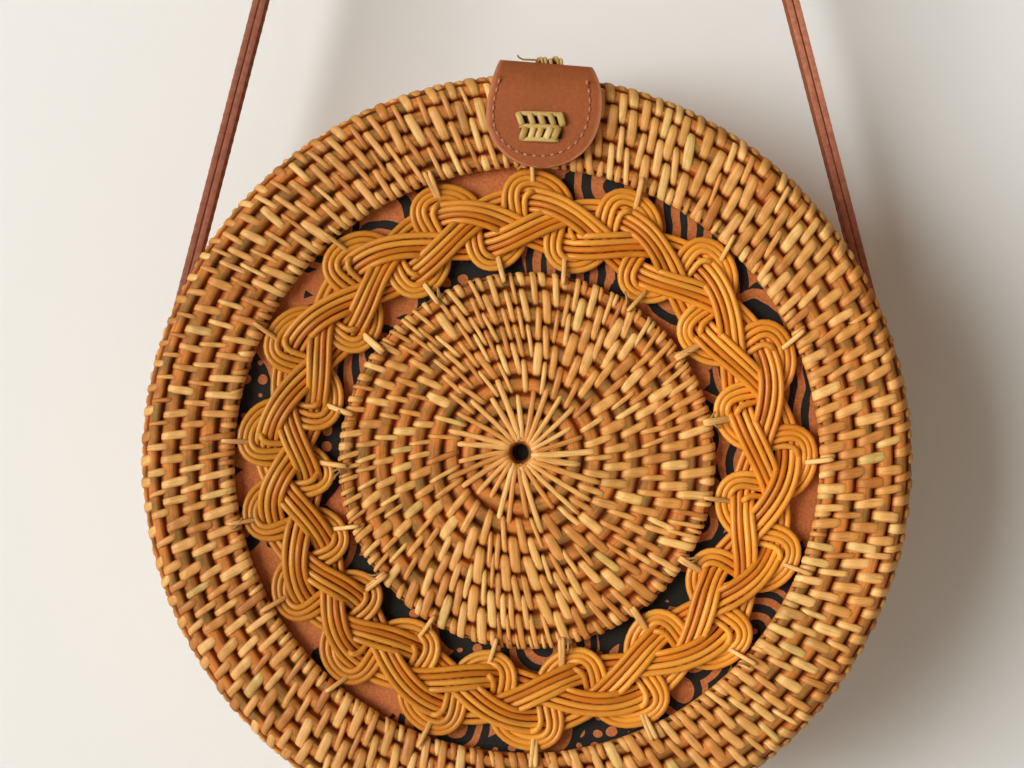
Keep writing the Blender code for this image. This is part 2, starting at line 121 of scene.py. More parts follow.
def new_object(name, mesh, body, replaces=()):
    """A piece that rides on a body, takes its finish from a slot and stands for the replaced nodes."""
    obj = bpy.data.objects.new(name, mesh)
    bpy.context.scene.collection.objects.link(obj)
    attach(obj, body)
    if replaces:
        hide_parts(*replaces)
    return obj


def mesh_of(bm, name, material, normals=True):
    """The finished mesh of a bmesh, smooth, with its faces outwards."""
    if normals:
        bmesh.ops.recalc_face_normals(bm, faces=bm.faces)
    mesh = bpy.data.meshes.new(name)
    bm.to_mesh(mesh)
    bm.free()
    mesh.shade_smooth()
    mesh.materials.append(material)
    return mesh


def copies(template, count):
    """A bmesh with the template's mesh a number of times over, and how many vertices one copy has."""
    bm = bmesh.new()
    for _ in range(count):
        bm.from_mesh(template)
    size = len(template.vertices)
    bpy.data.meshes.remove(template)
    return bm, size


def mark(mesh, name, values):
    """Gives each vertex three numbers that a material reads."""
    layer = mesh.attributes.new(name, "FLOAT_VECTOR", "POINT")
    layer.data.foreach_set("vector", [number for value in values for number in value])


class RowPath:
    """The outline that the coiled rows follow, as (radius, depth) with its outward normal, counted in rows.

    Its moves run ahead or bend, and two of them mark where the first and the last row's crest lie.
    """

    STEP = 0.25 * MM

    def __init__(self, start, heading, moves, rows, side=1):
        self.points = []
        self.side = side
        crests = []
        place = Vector(start)
        for move in moves:
            if move[0] == "crest":
                crests.append(len(self.points))
                continue
            bend = move[1] if move[0] == "bend" else 0
            run = abs(bend * move[2]) if bend else move[1]
            steps = max(1, round(run / self.STEP))
            for step in range(steps):
                turn = heading + (move[2] * (step + 0.5) / steps if bend else 0)
                self.points.append((place.copy(), Vector((sin(turn), -cos(turn)))))
                place += Vector((cos(turn), sin(turn))) * run / steps
            heading += move[2] if bend else 0
        self.points.append((place.copy(), Vector((sin(heading), -cos(heading)))))
        self.start, self.end = crests
        self.rows = rows
        self.pitch = self.STEP * (self.end - self.start) / (rows - 1)

    def at(self, row, height=0.0):
        """Radius and depth at a place counted in rows, with crests at the halves."""
        index = self.start + (row - 0.5) * (self.end - self.start) / (self.rows - 1)
        index = min(max(index, 0), len(self.points) - 1.001)
        low = int(index)
        share = index - low
        (here, out), (there, next_out) = self.points[low:low + 2]
        place = here.lerp(there, share) + out.lerp(next_out, share) * height
        return place.x, place.y * self.side

    def span(self):
        """The first and last place in rows."""
        scale = (self.rows - 1) / (self.end - self.start)
        return 0.5 - self.start * scale, 0.5 + (len(self.points) - 1 - self.start) * scale


FACE_FLAT = BAG_RADIUS - CORNER_RADIUS - WINDOW_RADIUS - EDGE_RADIUS
WALL_FLAT = HALF_DEPTH - CORNER_RADIUS - EDGE_RADIUS - PARTING_GAP / 2
QUARTER = pi / 2
EYE_HOLE = 2 * MM
FIRST_BACK_ROW = 6.8 * MM
LAST_BACK_ROW = 0.3 * MM
FRONT_ROWS = RowPath((WINDOW_RADIUS, WALL - HALF_DEPTH), -QUARTER, [
    ("ahead", WALL - EDGE_RADIUS), ("bend", EDGE_RADIUS, QUARTER), ("crest",), ("ahead", FACE_FLAT),
    ("bend", CORNER_RADIUS, QUARTER), ("ahead", WALL_FLAT), ("crest",), ("bend", EDGE_RADIUS, QUARTER)], 12)
DISC_ROWS = RowPath((EYE_HOLE, EDGE_RADIUS - HALF_DEPTH), -QUARTER, [
    ("bend", EDGE_RADIUS, QUARTER), ("crest",),
    ("ahead", DISC_RADIUS - 2 * EDGE_RADIUS - EYE_HOLE), ("crest",),
    ("bend", EDGE_RADIUS, QUARTER), ("ahead", WALL - EDGE_RADIUS)], 10)
BACK_ROWS = RowPath((0, -HALF_DEPTH), 0, [
    ("ahead", FIRST_BACK_ROW), ("crest",), ("ahead", BAG_RADIUS - CORNER_RADIUS - FIRST_BACK_ROW),
    ("bend", CORNER_RADIUS, QUARTER), ("ahead", WALL_FLAT - LAST_BACK_ROW), ("crest",),
    ("ahead", LAST_BACK_ROW),
    ("bend", EDGE_RADIUS, QUARTER)], 27, side=-1)
# The disc's eye sits a little left of and above its middle.
EYE_SHIFT = Vector((-1.8 * MM, 2.1 * MM))


# Materials

class Shade:
    """Builds one material's nodes in short words."""

    def __init__(self, name, roughness=0.5, sheen=0.0, metallic=0.0, shine=0.35):
        self.material = bpy.data.materials.new(name)
        self.material.use_nodes = True
        self.tree = self.material.node_tree
        self.shader = self.tree.nodes["Principled BSDF"]
        for socket, value in (("Roughness", roughness), ("Sheen Weight", sheen), ("Metallic", metallic),
                              ("Specular IOR Level", shine)):
            self.shader.inputs[socket].default_value = value

    def node(self, kind, **inputs):
        node = self.tree.nodes.new("ShaderNode" + kind)
        for name, value in inputs.items():
            self.put(node, name.replace("_", " "), value)
        return node

    def put(self, node, name, value):
        socket = node.inputs[int(name) if name.isdigit() else name]
        if isinstance(value, bpy.types.NodeSocket):
            self.tree.links.new(value, socket)
        else:
            socket.default_value = value

    def math(self, operation, one, two=0.0, three=0.0):
        node = self.tree.nodes.new("ShaderNodeMath")
        node.operation = operation
        for index, value in enumerate((one, two, three)):
            self.put(node, str(index), value)
        return node.outputs[0]

    def vector(self, operation, one, two=(0, 0, 0)):
        node = self.tree.nodes.new("ShaderNodeVectorMath")
        node.operation = operation
        self.put(node, "0", one)
        self.put(node, "1", two)
        return node.outputs["Value" if operation in ("LENGTH", "DISTANCE", "DOT_PRODUCT") else "Vector"]

    def objects(self):
        return self.node("TexCoord").outputs["Object"]

    def attribute(self, name):
        """The three numbers of a mesh's attribute."""
        node = self.tree.nodes.new("ShaderNodeAttribute")
        node.attribute_name = name
        parts = self.node("SeparateXYZ", Vector=node.outputs["Vector"])
        return node.outputs["Vector"], parts.outputs["X"], parts.outputs["Y"], parts.outputs["Z"]

    def noise(self, where, scale, detail=2.0, rough=0.5, stretch=(1, 1, 1)):
        """Noise with `scale` features a metre."""
        where = self.vector("MULTIPLY", where, stretch)
        return self.node("TexNoise", Vector=where, Scale=scale, Detail=detail, Roughness=rough).outputs["Fac"]

    def ramp(self, factor, *stops):
        node = self.tree.nodes.new("ShaderNodeValToRGB")
        stretch = node.color_ramp
        while len(stretch.elements) < len(stops):
            stretch.elements.new(0.5)
        for element, (place, value) in zip(stretch.elements, stops):
            element.position = place
            element.color = (*value, 1) if hasattr(value, "__len__") else (value, value, value, 1)
        self.put(node, "Fac", factor)
        return node.outputs["Color"]

    def mix(self, factor, one, two, blend="MIX"):
        node = self.tree.nodes.new("ShaderNodeMix")
        node.data_type = "RGBA"
        node.blend_type = blend
        for index, value in ((0, factor), (6, one), (7, two)):
            socket = node.inputs[index]
            if isinstance(value, bpy.types.NodeSocket):
                self.tree.links.new(value, socket)
            else:
                socket.default_value = value if index == 0 else (*value, 1)
        return node.outputs[2]

    def times(self, base, by):
        """One colour multiplied by another."""
        return self.mix(1.0, base, by, "MULTIPLY")

    def faded(self, base, left, right):
        """Painted light: the colour made stronger or weaker from the bag's left side to its right."""
        across = self.node("SeparateXYZ", Vector=self.objects()).outputs["X"]
        share = self.math("MULTIPLY_ADD", across, 0.5 / BAG_RADIUS, 0.5)
        return self.times(base, self.ramp(share, (0.1, left), (0.9, right)))

    def colour(self, value):
        """Sets the surface's colour."""
        self.put(self.shader, "Base Color", value)

    def rough(self, value):
        self.put(self.shader, "Roughness", value)

    def bump(self, height, distance, strength=1.0):
        """Sets the relief, and hands over the finished material."""
        node = self.node("Bump", Height=height, Distance=distance, Strength=strength)
        self.tree.links.new(node.outputs["Normal"], self.shader.inputs["Normal"])
        return self.material


def strand_finish(name, dark, middle, pale, green):
    """Split cane with its own tone and long fibres, and painted shade and highlight on each strand."""
    shade = Shade(name, roughness=0.42)
    grain, _, _, tone = shade.attribute("grain")
    # The strand attribute carries painted light: across each strand and towards its tucked ends.
    _, crown, end, _ = shade.attribute("strand")
    base = shade.ramp(tone, (0.0, dark), (0.4, middle), (0.85, pale), (1.0, green))
    blotch = shade.noise(shade.objects(), 90, 3)
    base = shade.mix(shade.math("MULTIPLY", blotch, 0.6), base, shade.times(base, (0.86, 0.58, 0.36)))
    olive = shade.ramp(shade.noise(shade.objects(), 34, 2), (0.52, 0.0), (0.72, 0.4))
    base = shade.mix(olive, base, green)
    fibre = shade.noise(grain, 1, 3, 0.6, stretch=(2600, 160, 40))
    base = shade.times(base, shade.ramp(fibre, (0.3, 0.72), (0.5, 1.0), (0.75, 1.12)))
    # Painted shade at each strand's sides and a painted highlight along its middle.
    base = shade.times(base, shade.ramp(crown, (0.5, (0.62, 0.50, 0.40)), (0.68, 1.0), (1.0, 1.12)))
    # Painted shade where a strand tucks under at its ends and on its underside.
    tucked_end_shade = shade.ramp(end, (0.0, (0.26, 0.09, 0.02)), (0.14, (0.66, 0.48, 0.34)), (0.32, 1.0))
    # Painted light: lighter towards the bag's right.
    shade.colour(shade.times(shade.faded(base, 1.06, 1.25), tucked_end_shade))
    shade.rough(shade.ramp(fibre, (0.3, 0.5), (0.7, 0.36)))
    return shade.bump(fibre, 0.00012, 0.8)


def core_finish(name):
    """The coiled cane under the strands, with fibres that run round the bag and painted shade in its valleys.
    """
    shade = Shade(name, roughness=0.55, shine=0.12)
    grain, _, _, tone = shade.attribute("grain")
    fibre = shade.noise(grain, 1, 3, 0.6, stretch=(2200, 90, 1))
    blotch = shade.noise(shade.objects(), 210, 2)
    base = shade.ramp(blotch, (0.34, (0.27, 0.135, 0.034)), (0.44, (0.38, 0.150, 0.034)),
                      (0.52, (0.50, 0.180, 0.038)), (0.64, (0.68, 0.215, 0.044)))
    # Painted light: lighter towards the bag's right.
    base = shade.times(shade.faded(base, 1.10, 1.26), shade.ramp(fibre, (0.3, 0.66), (0.6, 1.0)))
    # Painted shade: the lower the core lies between the rows, the darker.
    sunk = shade.ramp(tone, (0.1, (0.30, 0.09, 0.02)), (0.6, (0.50, 0.31, 0.17)), (0.98, 1.0))
    shade.colour(shade.times(base, sunk))
    return shade.bump(fibre, 0.00015, 0.8)


def plait_finish(name):
    """Smooth amber cane, some canes a little lighter than others, with faint darker patches along them."""
    shade = Shade(name, roughness=0.34)
    grain, _, _, tone = shade.attribute("grain")
    blotch = shade.noise(shade.objects(), 60, 3)
    base = shade.ramp(tone, (0.0, (0.56, 0.165, 0.011)), (0.5, (0.64, 0.225, 0.018)),
                      (1.0, (0.74, 0.315, 0.040)))
    # Painted light: lighter towards the bag's right.
    base = shade.faded(base, 0.90, 1.5)
    base = shade.times(base, shade.ramp(blotch, (0.3, (0.84, 0.74, 0.66)), (0.6, 1.0)))
    fibre = shade.noise(grain, 1, 2, 0.5, stretch=(5, 60, 1))
    shade.colour(shade.times(base, shade.ramp(fibre, (0.35, 0.86), (0.6, 1.0))))
    return shade.bump(fibre, 0.00005, 0.5)


def leather_finish(name, plain, warm, edge):
    """Smooth leather: fine pores, faint warmer patches and a paler rubbed edge."""
    shade = Shade(name, roughness=0.5, shine=0.16)
    where = shade.objects()
    _, _, _, rim = shade.attribute("border")
    patch = shade.noise(where, 70, 3)
    base = shade.mix(shade.ramp(patch, (0.35, 0.0), (0.7, 0.8)), plain, warm)
    pores = shade.node("TexVoronoi", Vector=where, Scale=1500).outputs["Distance"]
    fine = shade.noise(where, 900, 3, 0.6)
    base = shade.times(base, shade.ramp(fine, (0.3, 0.88), (0.7, 1.08)))
    rubbed = shade.ramp(shade.math("ADD", rim, shade.math("MULTIPLY", shade.noise(where, 250, 2), 0.3)),
                        (0.25, 0.85), (0.55, 0.0))
    shade.colour(shade.mix(rubbed, base, edge))
    shade.rough(shade.ramp(fine, (0.3, 0.42), (0.7, 0.6)))
    return shade.bump(shade.math("MULTIPLY_ADD", pores, 0.5, fine), 0.00012, 0.5)


def cut_edge_finish(name, tint, sides):
    """The raw cut side of leather with its fuzz, and painted light stronger or weaker at the bag's left and
    right.
    """
    shade = Shade(name, roughness=0.75)
    fuzz = shade.noise(shade.objects(), 600, 3, 0.7)
    shade.colour(shade.times(shade.faded(tint, *sides), shade.ramp(fuzz, (0.3, 0.62), (0.7, 1.1))))
    return shade.bump(fuzz, 0.0002, 0.7)


def thread_finish(name, tint):
    """Twisted thread, and the dark dots of painted shade in the pricked holes at its ends."""
    shade = Shade(name, roughness=0.7)
    twist = shade.noise(shade.objects(), 1200, 2)
    shade.colour(shade.times(tint, shade.ramp(twist, (0.3, 0.75), (0.7, 1.1))))
    return shade.bump(twist, 0.0001, 0.6)


def steel_finish(name):
    """Plated steel with fine scratches."""
    shade = Shade(name, roughness=0.32, metallic=1.0)
    scratch = shade.noise(shade.objects(), 700, 2, stretch=(1, 8, 1))
    shade.colour(shade.ramp(scratch, (0.3, 0.50), (0.7, (0.66, 0.66, 0.65))))
    return shade.bump(scratch, 0.00003, 0.4)


def print_finish(name):
    """Block-printed cotton in black and terracotta: rings, seed rows and wavy bands; its black middle is
    painted shade.
    """
    shade = Shade(name, roughness=0.85, sheen=0.15)
    where = shade.objects()
    flat = shade.vector("SUBTRACT", where, (0, WALL + FIT_GAP - HALF_DEPTH, 0))
    wobble = shade.node("TexNoise", Vector=flat, Scale=90.0, Detail=2.0).outputs["Color"]
    wobble = shade.vector("SUBTRACT", wobble, (0.5, 0.5, 0.5))
    wobble = shade.vector("MULTIPLY", wobble, (0.003, 0.003, 0.003))
    flat = shade.vector("ADD", flat, wobble)
    black, clay, rust = (0.014, 0.011, 0.008), (0.66, 0.20, 0.055), (0.52, 0.14, 0.036)

    plots = shade.node("TexVoronoi", Vector=flat, Scale=52.0, Randomness=0.75)
    which = shade.node("SeparateColor", Color=plots.outputs["Color"]).outputs["Red"]
    rings = shade.math("SINE", shade.math("MULTIPLY", plots.outputs["Distance"], 34.0))
    rings = shade.math("GREATER_THAN", rings, 0.1)
    seeds = shade.node("TexVoronoi", Vector=flat, Scale=230.0, Randomness=0.35).outputs["Distance"]
    seeds = shade.math("LESS_THAN", seeds, 0.33)
    waves = shade.node("TexWave", Vector=flat, Scale=78.0, Distortion=3.0, Detail=1.0).outputs["Fac"]
    waves = shade.math("GREATER_THAN", waves, 0.42)

    ink = shade.mix(shade.math("GREATER_THAN", which, 0.34), rings, seeds)
    ink = shade.mix(shade.math("GREATER_THAN", which, 0.62), ink, waves)
    ink = shade.mix(shade.math("GREATER_THAN", which, 0.74), ink, (1, 1, 1))
    thread = shade.node("TexNoise", Vector=where, Scale=1500.0, Detail=2.0).outputs["Fac"]
    # Painted shade: black within 9 mm of the middle, seen through the disc's eye.
    middle = shade.vector("DISTANCE", shade.vector("MULTIPLY", where, (1, 0, 1)), (CENTRE.x, 0, CENTRE.z))
    ink = shade.mix(shade.math("LESS_THAN", middle, 0.009), ink, (0, 0, 0))
    tint = shade.mix(shade.noise(flat, 60, 2), clay, rust)
    base = shade.mix(ink, black, tint)
    shade.colour(shade.times(base, shade.ramp(thread, (0.3, 0.75), (0.7, 1.15))))
    return shade.bump(thread, 0.00015, 0.6)


def plaster_finish(name, tint):
    """The pale wall and floor. Seen from behind it is clear, so the bag shows from all sides."""
    shade = Shade(name, roughness=0.9)
    cloud = shade.noise(shade.objects(), 2.5, 2)
    shade.colour(shade.times(tint, shade.ramp(cloud, (0.3, 0.97), (0.7, 1.02))))
    side = shade.tree.nodes.new("ShaderNodeNewGeometry").outputs["Backfacing"]
    clear = shade.node("BsdfTransparent").outputs["BSDF"]
    mixer = shade.node("MixShader", Fac=side)
    shade.tree.links.new(shade.shader.outputs["BSDF"], mixer.inputs[1])
    shade.tree.links.new(clear, mixer.inputs[2])
    out = shade.tree.nodes["Material Output"]
    shade.tree.links.new(mixer.outputs["Shader"], out.inputs["Surface"])
    return shade.material


FINISHES = {}


def finish(name):
    """Each finish is made once, when a piece first asks for it."""
    if name not in FINISHES:
        look = settings()
        makers = {
            "cane_strand": lambda: strand_finish("cane_strand", (0.47, 0.175, 0.036), look.strand_tint[:],
                                                 (0.88, 0.54, 0.195), (0.60, 0.40, 0.12)),
            "disc_strand": lambda: strand_finish("disc_strand", (0.49, 0.18, 0.034), (0.69, 0.31, 0.072),
                                                 (0.88, 0.535, 0.18), (0.61, 0.40, 0.11)),
            "pale_strand": lambda: strand_finish("pale_strand", (0.40, 0.23, 0.062), (0.58, 0.385, 0.125),
                                                 (0.74, 0.57, 0.24), (0.50, 0.375, 0.11)),
            "core_cane": lambda: core_finish("core_cane"),
            "plait_cane": lambda: plait_finish("plait_cane"),
            "tab_leather": lambda: leather_finish("tab_leather", look.leather_tint[:], (0.415, 0.107, 0.037),
                                                  (0.56, 0.21, 0.105)),
            "tab_edge": lambda: cut_edge_finish("tab_edge", (0.50, 0.19, 0.10), (1.0, 1.0)),
            "strap_leather": lambda: leather_finish("strap_leather", (0.43, 0.125, 0.050),
                                                    (0.37, 0.095, 0.040),
                                                    (0.50, 0.19, 0.095)),
            # Painted light: the strap's cut edges lighter towards the bag's right. The seam's dark colour is
            # partly the glued seam, partly painted shade between the layers.
            "strap_edge": lambda: cut_edge_finish("strap_edge", (0.34, 0.115, 0.062), (1.08, 1.68)),
            "strap_seam_shade": lambda: cut_edge_finish("strap_seam_shade", (0.30, 0.060, 0.022), (0.95, 1.5)),
            "thread": lambda: thread_finish("thread", (0.54, 0.22, 0.12)),
            "strap_thread": lambda: thread_finish("strap_thread", (0.27, 0.09, 0.045)),
            # Painted shade: dark dots in the tab's stitch holes.
            "hole": lambda: thread_finish("hole", (0.17, 0.055, 0.024)),
            # Painted shade: near-black, for the plate behind the woven patch.
            "slot": lambda: thread_finish("slot", (0.035, 0.016, 0.008)),
            "steel": lambda: steel_finish("steel"),
            "print": lambda: print_finish("print"),
            "wall": lambda: plaster_finish("wall", look.wall_tint[:]),
            "floor": lambda: plaster_finish("floor", (0.80, 0.78, 0.74)),
        }
        FINISHES[name] = makers[name]()
    return FINISHES[name]


# Weaving

HALF_ROW = 2.42 * MM
ROW_ROUND = 2.5 * MM
DEEP_VALLEY, SHALLOW_VALLEY = 1.6 * MM, 0.4 * MM
SHALLOW_DIP, BACK_DIP = 0.42 * MM, 0.7 * MM
CORE_SUNK, STRAND_SUNK = 0.32 * MM, 0.45 * MM
STRAND_THICKNESS, FLAT_THICKNESS = 0.62 * MM, 0.55 * MM
CORE_STEPS = 160
# The rows that lie on the front's face, inside its round corner.
FACE_ROWS = 4.5


def row_relief(row, valley):
    """The core's flattened back: a broad crest at each half, a narrow valley between the rows."""
    off = abs(row - floor(row) - 0.5) * 2
    return -valley * off ** 3.4 - 0.35 * MM * off ** 2 - CORE_SUNK


def strand_rise(row, reach, rows, dip):
    """How a strand lies: it sinks a little between two crests and rolls off at its ends, reach rows away."""
    off = max(0.0, 0.5 - reach) * 2 * HALF_ROW
    roll = sqrt(max(ROW_ROUND ** 2 - off * off, 0)) - ROW_ROUND
    sunk = cos(pi * row) ** 2 if 0.5 < row < rows - 0.5 else 0.0
    return roll - dip * sunk * min(1.0, 2 * reach)


class Strand:
    """One stitch: where it starts and ends in rows, its turn at the start, and how wide it is."""

    def __init__(self, inner, outer, turn, width, draw, narrow=0.74):
        self.inner = inner
        self.outer = outer
        self.turn = turn
        self.width = width
        self.lean = draw.gauss(0, 0.06)
        self.lift = draw.uniform(-0.08, 0.12) * MM
        self.tone = min(max(draw.gauss(0.46, 0.22), 0), 1)
        self.hue = draw.random()
        self.narrow = narrow

    def turn_at(self, path, row, slant):
        """Where the strand's middle line is, by its clockwise turn, at a place counted in rows."""
        radius = max(path.at(row)[0], 2 * MM)
        middle = max(path.at(self.inner)[0], 4 * MM)
        return self.turn - (slant + self.lean) * path.pitch * (row - self.inner) / ((radius + middle) / 2)


def between(turns):
    """The turns half-way between the given ones, round the bag."""
    turns = sorted(turn % (2 * pi) for turn in turns)
    return [(here + there) / 2 for here, there in zip(turns, turns[1:] + [turns[0] + 2 * pi])]


LOWER_LEFT, UPPER_LEFT = radians(215), radians(318)
SLIMMEST_STRAND, WIDEST_STRAND = 1.25 * MM, 3.0 * MM


def strand_width(spread, turn, row, share, slim, draw):
    """Wider and narrower from set to set and round the bag: wide lower left, slim upper left."""
    zone = noise.noise(Vector((2.3 * sin(turn), row * 0.83 + 7.3, 2.3 * cos(turn))))
    side = (1.05 + 0.1 * cos(turn - radians(75)) + 0.14 * sin(2.6 * row)
            + 0.2 * max(0.0, cos(turn - LOWER_LEFT)) ** 2 - slim * max(0.0, cos(turn - UPPER_LEFT)) ** 2)
    width = spread * share * side * (1 + 0.4 * zone + draw.uniform(-0.14, 0.14))
    return max(min(width, WIDEST_STRAND, spread * 0.72), SLIMMEST_STRAND)


def stitch_rows(path, first, last, draw, slant, turns, period=None, share=0.425, over=(0.0, 0.0), short=0.42,
                slim=0.22, spend=0.38):
    """Strands over two rows each, every set staggered between the strands of the set inside it.

    Where they spread beyond the period, one strand becomes two. The outermost sets reach `over` past
    their rows. At the left their inner ends are `short` by up to that many rows, at the right their
    outer ends by `spend`.
    """
    strands = []
    for row in range(first, last + 1):
        radius = path.at(row - 0.5)[0]
        placed = []
        turns = sorted(turn % (2 * pi) for turn in turns)
        inner = row - 1 - (over[0] if row == first else 0)
        outer = row + 1 + (over[1] if row == last else 0)
        for here, there in zip(turns, turns[1:] + [turns[0] + 2 * pi]):
            gap = there - here
            parts = 2 if period and gap * radius > period * draw.uniform(1.35, 1.75) else 1
            for part in range(parts):
                turn = here + gap * (2 * part + 1) / (2 * parts) + draw.gauss(0, 0.045) * gap
                turn += slant * path.pitch * 0.5 / radius
                width = strand_width(gap / parts * radius, turn, row, share, slim, draw)
                sunk = spent = 0
                if row > first:
                    sunk = short * eased(-0.65 - 1.65 * cos(turn - radians(88))) * draw.uniform(0.7, 1.1)
                if row < last:
                    spent = spend * eased(1.4 * cos(turn - radians(110)) - 0.2) * draw.uniform(0.6, 1.1)
                placed.append(Strand(inner + sunk, outer - spent, turn, width, draw))
        strands += placed
        turns = [strand.turn_at(path, row + 0.5, slant) for strand in placed]
    return strands, turns


def edge_wraps(path, inner, outer, turns, share, draw):
    """Short wraps that fill the edge between the long strands."""
    strands = []
    for here, there in zip(turns, turns[1:] + [turns[0] + 2 * pi]):
        radius = path.at((inner + outer) / 2)[0]
        spread = (there - here) * radius
        turn = here + draw.gauss(0, 0.03) * (there - here)
        strands.append(Strand(inner, outer, turn, spread * share * draw.uniform(0.8, 1.1), draw, narrow=0.7))
    return strands


SHELL_STEPS = (0, 0.045, 0.11, 0.2, 0.34, 0.5, 0.66, 0.8, 0.89, 0.955, 1)


def strand_template():
    """A strip one unit long and wide, with a crowned back, ready to be laid along the rows."""
    bm = bmesh.new()
    bmesh.ops.create_cube(bm, size=1)
    bmesh.ops.delete(bm, geom=[face for face in bm.faces if face.normal.z < -0.5], context="FACES_ONLY")
    ways = [edge for edge in bm.edges if abs(edge.verts[0].co.y - edge.verts[1].co.y) > 0.5]
    bmesh.ops.subdivide_edges(bm, edges=ways, cuts=len(SHELL_STEPS) - 2, use_grid_fill=True)
    tops = [edge for edge in bm.edges
            if abs(edge.verts[0].co.x - edge.verts[1].co.x) > 0.5 and edge.verts[0].co.z > 0]
    bmesh.ops.subdivide_edges(bm, edges=tops, cuts=2, use_grid_fill=True)
    holes = [edge for edge in bm.edges if edge.is_boundary]
    bmesh.ops.holes_fill(bm, edges=holes, sides=len(holes))
    count = len(SHELL_STEPS) - 1
    for vert in bm.verts:
        step = round((vert.co.y + 0.5) * count)
        vert.co.y = SHELL_STEPS[step]
        if vert.co.z > 0:
            inside = abs(vert.co.x) < 0.4
            vert.co.x *= 1.5 if inside else 0.92
            vert.co.z = 1.0 if inside else 0.5
        else:
            vert.co.z = -0.1
    mesh = bpy.data.meshes.new("strand_template")
    bm.to_mesh(mesh)
    bm.free()
    return mesh


def woven_piece(bm, name, body, material, grains, shade_and_tones, replaces=()):
    """The finished piece of a bmesh of strands, with what its cane finish reads."""
    mesh = mesh_of(bm, name, material)
    mark(mesh, "grain", grains)
    mark(mesh, "strand", shade_and_tones)
    new_object(name, mesh, body, replaces)


def lay_strands(name, path, strands, slant, body, material, shift=None, dip=SHALLOW_DIP):
    """One mesh of all the strands, each laid over its rows and tucked in at both ends."""
    bm, count = copies(strand_template(), len(strands))
    grains = []
    shade_and_tones = []
    for index, vert in enumerate(bm.verts):
        strand = strands[index // count]
        across, along, up = vert.co
        row = strand.inner + (strand.outer - strand.inner) * along
        reach = min(row - strand.inner, strand.outer - row)
        narrow = 1 - (1 - strand.narrow) * max(0.0, 1 - reach / 0.45) ** 1.4
        rise = strand_rise(row, reach, path.rows, dip if row > FACE_ROWS else SHALLOW_DIP)
        height = rise + strand.lift - STRAND_SUNK + up * STRAND_THICKNESS
        radius, depth = path.at(row, height)
        flat = max(path.at(row)[0], 1.2 * MM)
        turn = strand.turn_at(path, row, slant)
        side = across * strand.width * narrow
        place = on_bag(radius, turn, depth) + Vector((cos(turn), 0, -sin(turn))) * side
        if shift:
            share = max(0.0, 1 - flat / DISC_RADIUS)
            place += Vector((shift.x, 0, shift.y)) * share
        vert.co = place
        grains.append((across * strand.width + strand.hue, row * path.pitch, strand.tone))
        # Painted light: across the strand for its shaded sides and highlit middle, along it for shade at its
        # tucked ends and underside.
        shade_and_tones.append((1 - abs(across), min(1.0, reach / 0.5) if up > -0.05 else 0.0, strand.hue))
    woven_piece(bm, name, body, material, grains, shade_and_tones)


def lay_core(name, path, closing, body, replaces, shift=None, deep_rows=99):
    """The rows of cane under the strands, turned round the bag and closed along the given inside points.

    Beyond the deep rows the valleys are as shallow as the solid's.
    """
    low, high = path.span()
    count = ceil((high - low) * 12)
    line = []
    for step in range(count + 1):
        row = low + (high - low) * step / count
        radius, depth = path.at(row, row_relief(row, DEEP_VALLEY if row < deep_rows else SHALLOW_VALLEY))
        line.append((max(radius, 0.0), depth, row))
    line += [(radius, depth, 0.5) for radius, depth in closing]
    bm = bmesh.new()
    tag = bm.verts.layers.float.new("row")
    verts = []
    for radius, depth, row in line:
        vert = bm.verts.new(on_bag(radius, 0, depth))
        vert[tag] = row
        verts.append(vert)
    edges = [bm.edges.new(pair) for pair in zip(verts, verts[1:])]
    if line[0][0] > 0.1 * MM:
        edges.append(bm.edges.new((verts[-1], verts[0])))
    bmesh.ops.spin(bm, geom=verts + edges, axis=(0, 1, 0), cent=CENTRE, angle=2 * pi, steps=CORE_STEPS,
                   use_merge=True)
    bmesh.ops.remove_doubles(bm, verts=bm.verts, dist=0.005 * MM)
    grains = []
    for vert in bm.verts:
        off = vert.co - CENTRE
        turn = atan2(off.x, off.z)
        radius = hypot(off.x, off.z)
        row = vert[tag]
        vert.co.y += 0.22 * MM * noise.noise(Vector((3 * sin(turn), row * 1.7, 3 * cos(turn))))
        if shift:
            share = max(0.0, 1 - radius / DISC_RADIUS)
            vert.co += Vector((shift.x, 0, shift.y)) * share
        # How high the core lies above its valley; the core finish paints shade from it.
        high = min(1.0, (row_relief(row, DEEP_VALLEY) + 2.32 * MM) / (1.9 * MM))
        grains.append((row * path.pitch, turn * radius, high))
    mesh = mesh_of(bm, name, finish("core_cane"))
    mark(mesh, "grain", grains)
    new_object(name, mesh, body, replaces)


class FlatStrand:
    """A short flat strand from one point over to another, arched outwards, with its ends tucked in."""

    def __init__(self, start, end, outward, width, rise, draw, tuck):
        self.start, self.end, self.outward = start, end, outward
        self.width, self.rise, self.tuck = width, rise, tuck
        self.tone = min(max(draw.gauss(0.5, 0.2), 0), 1)
        self.hue = draw.random()


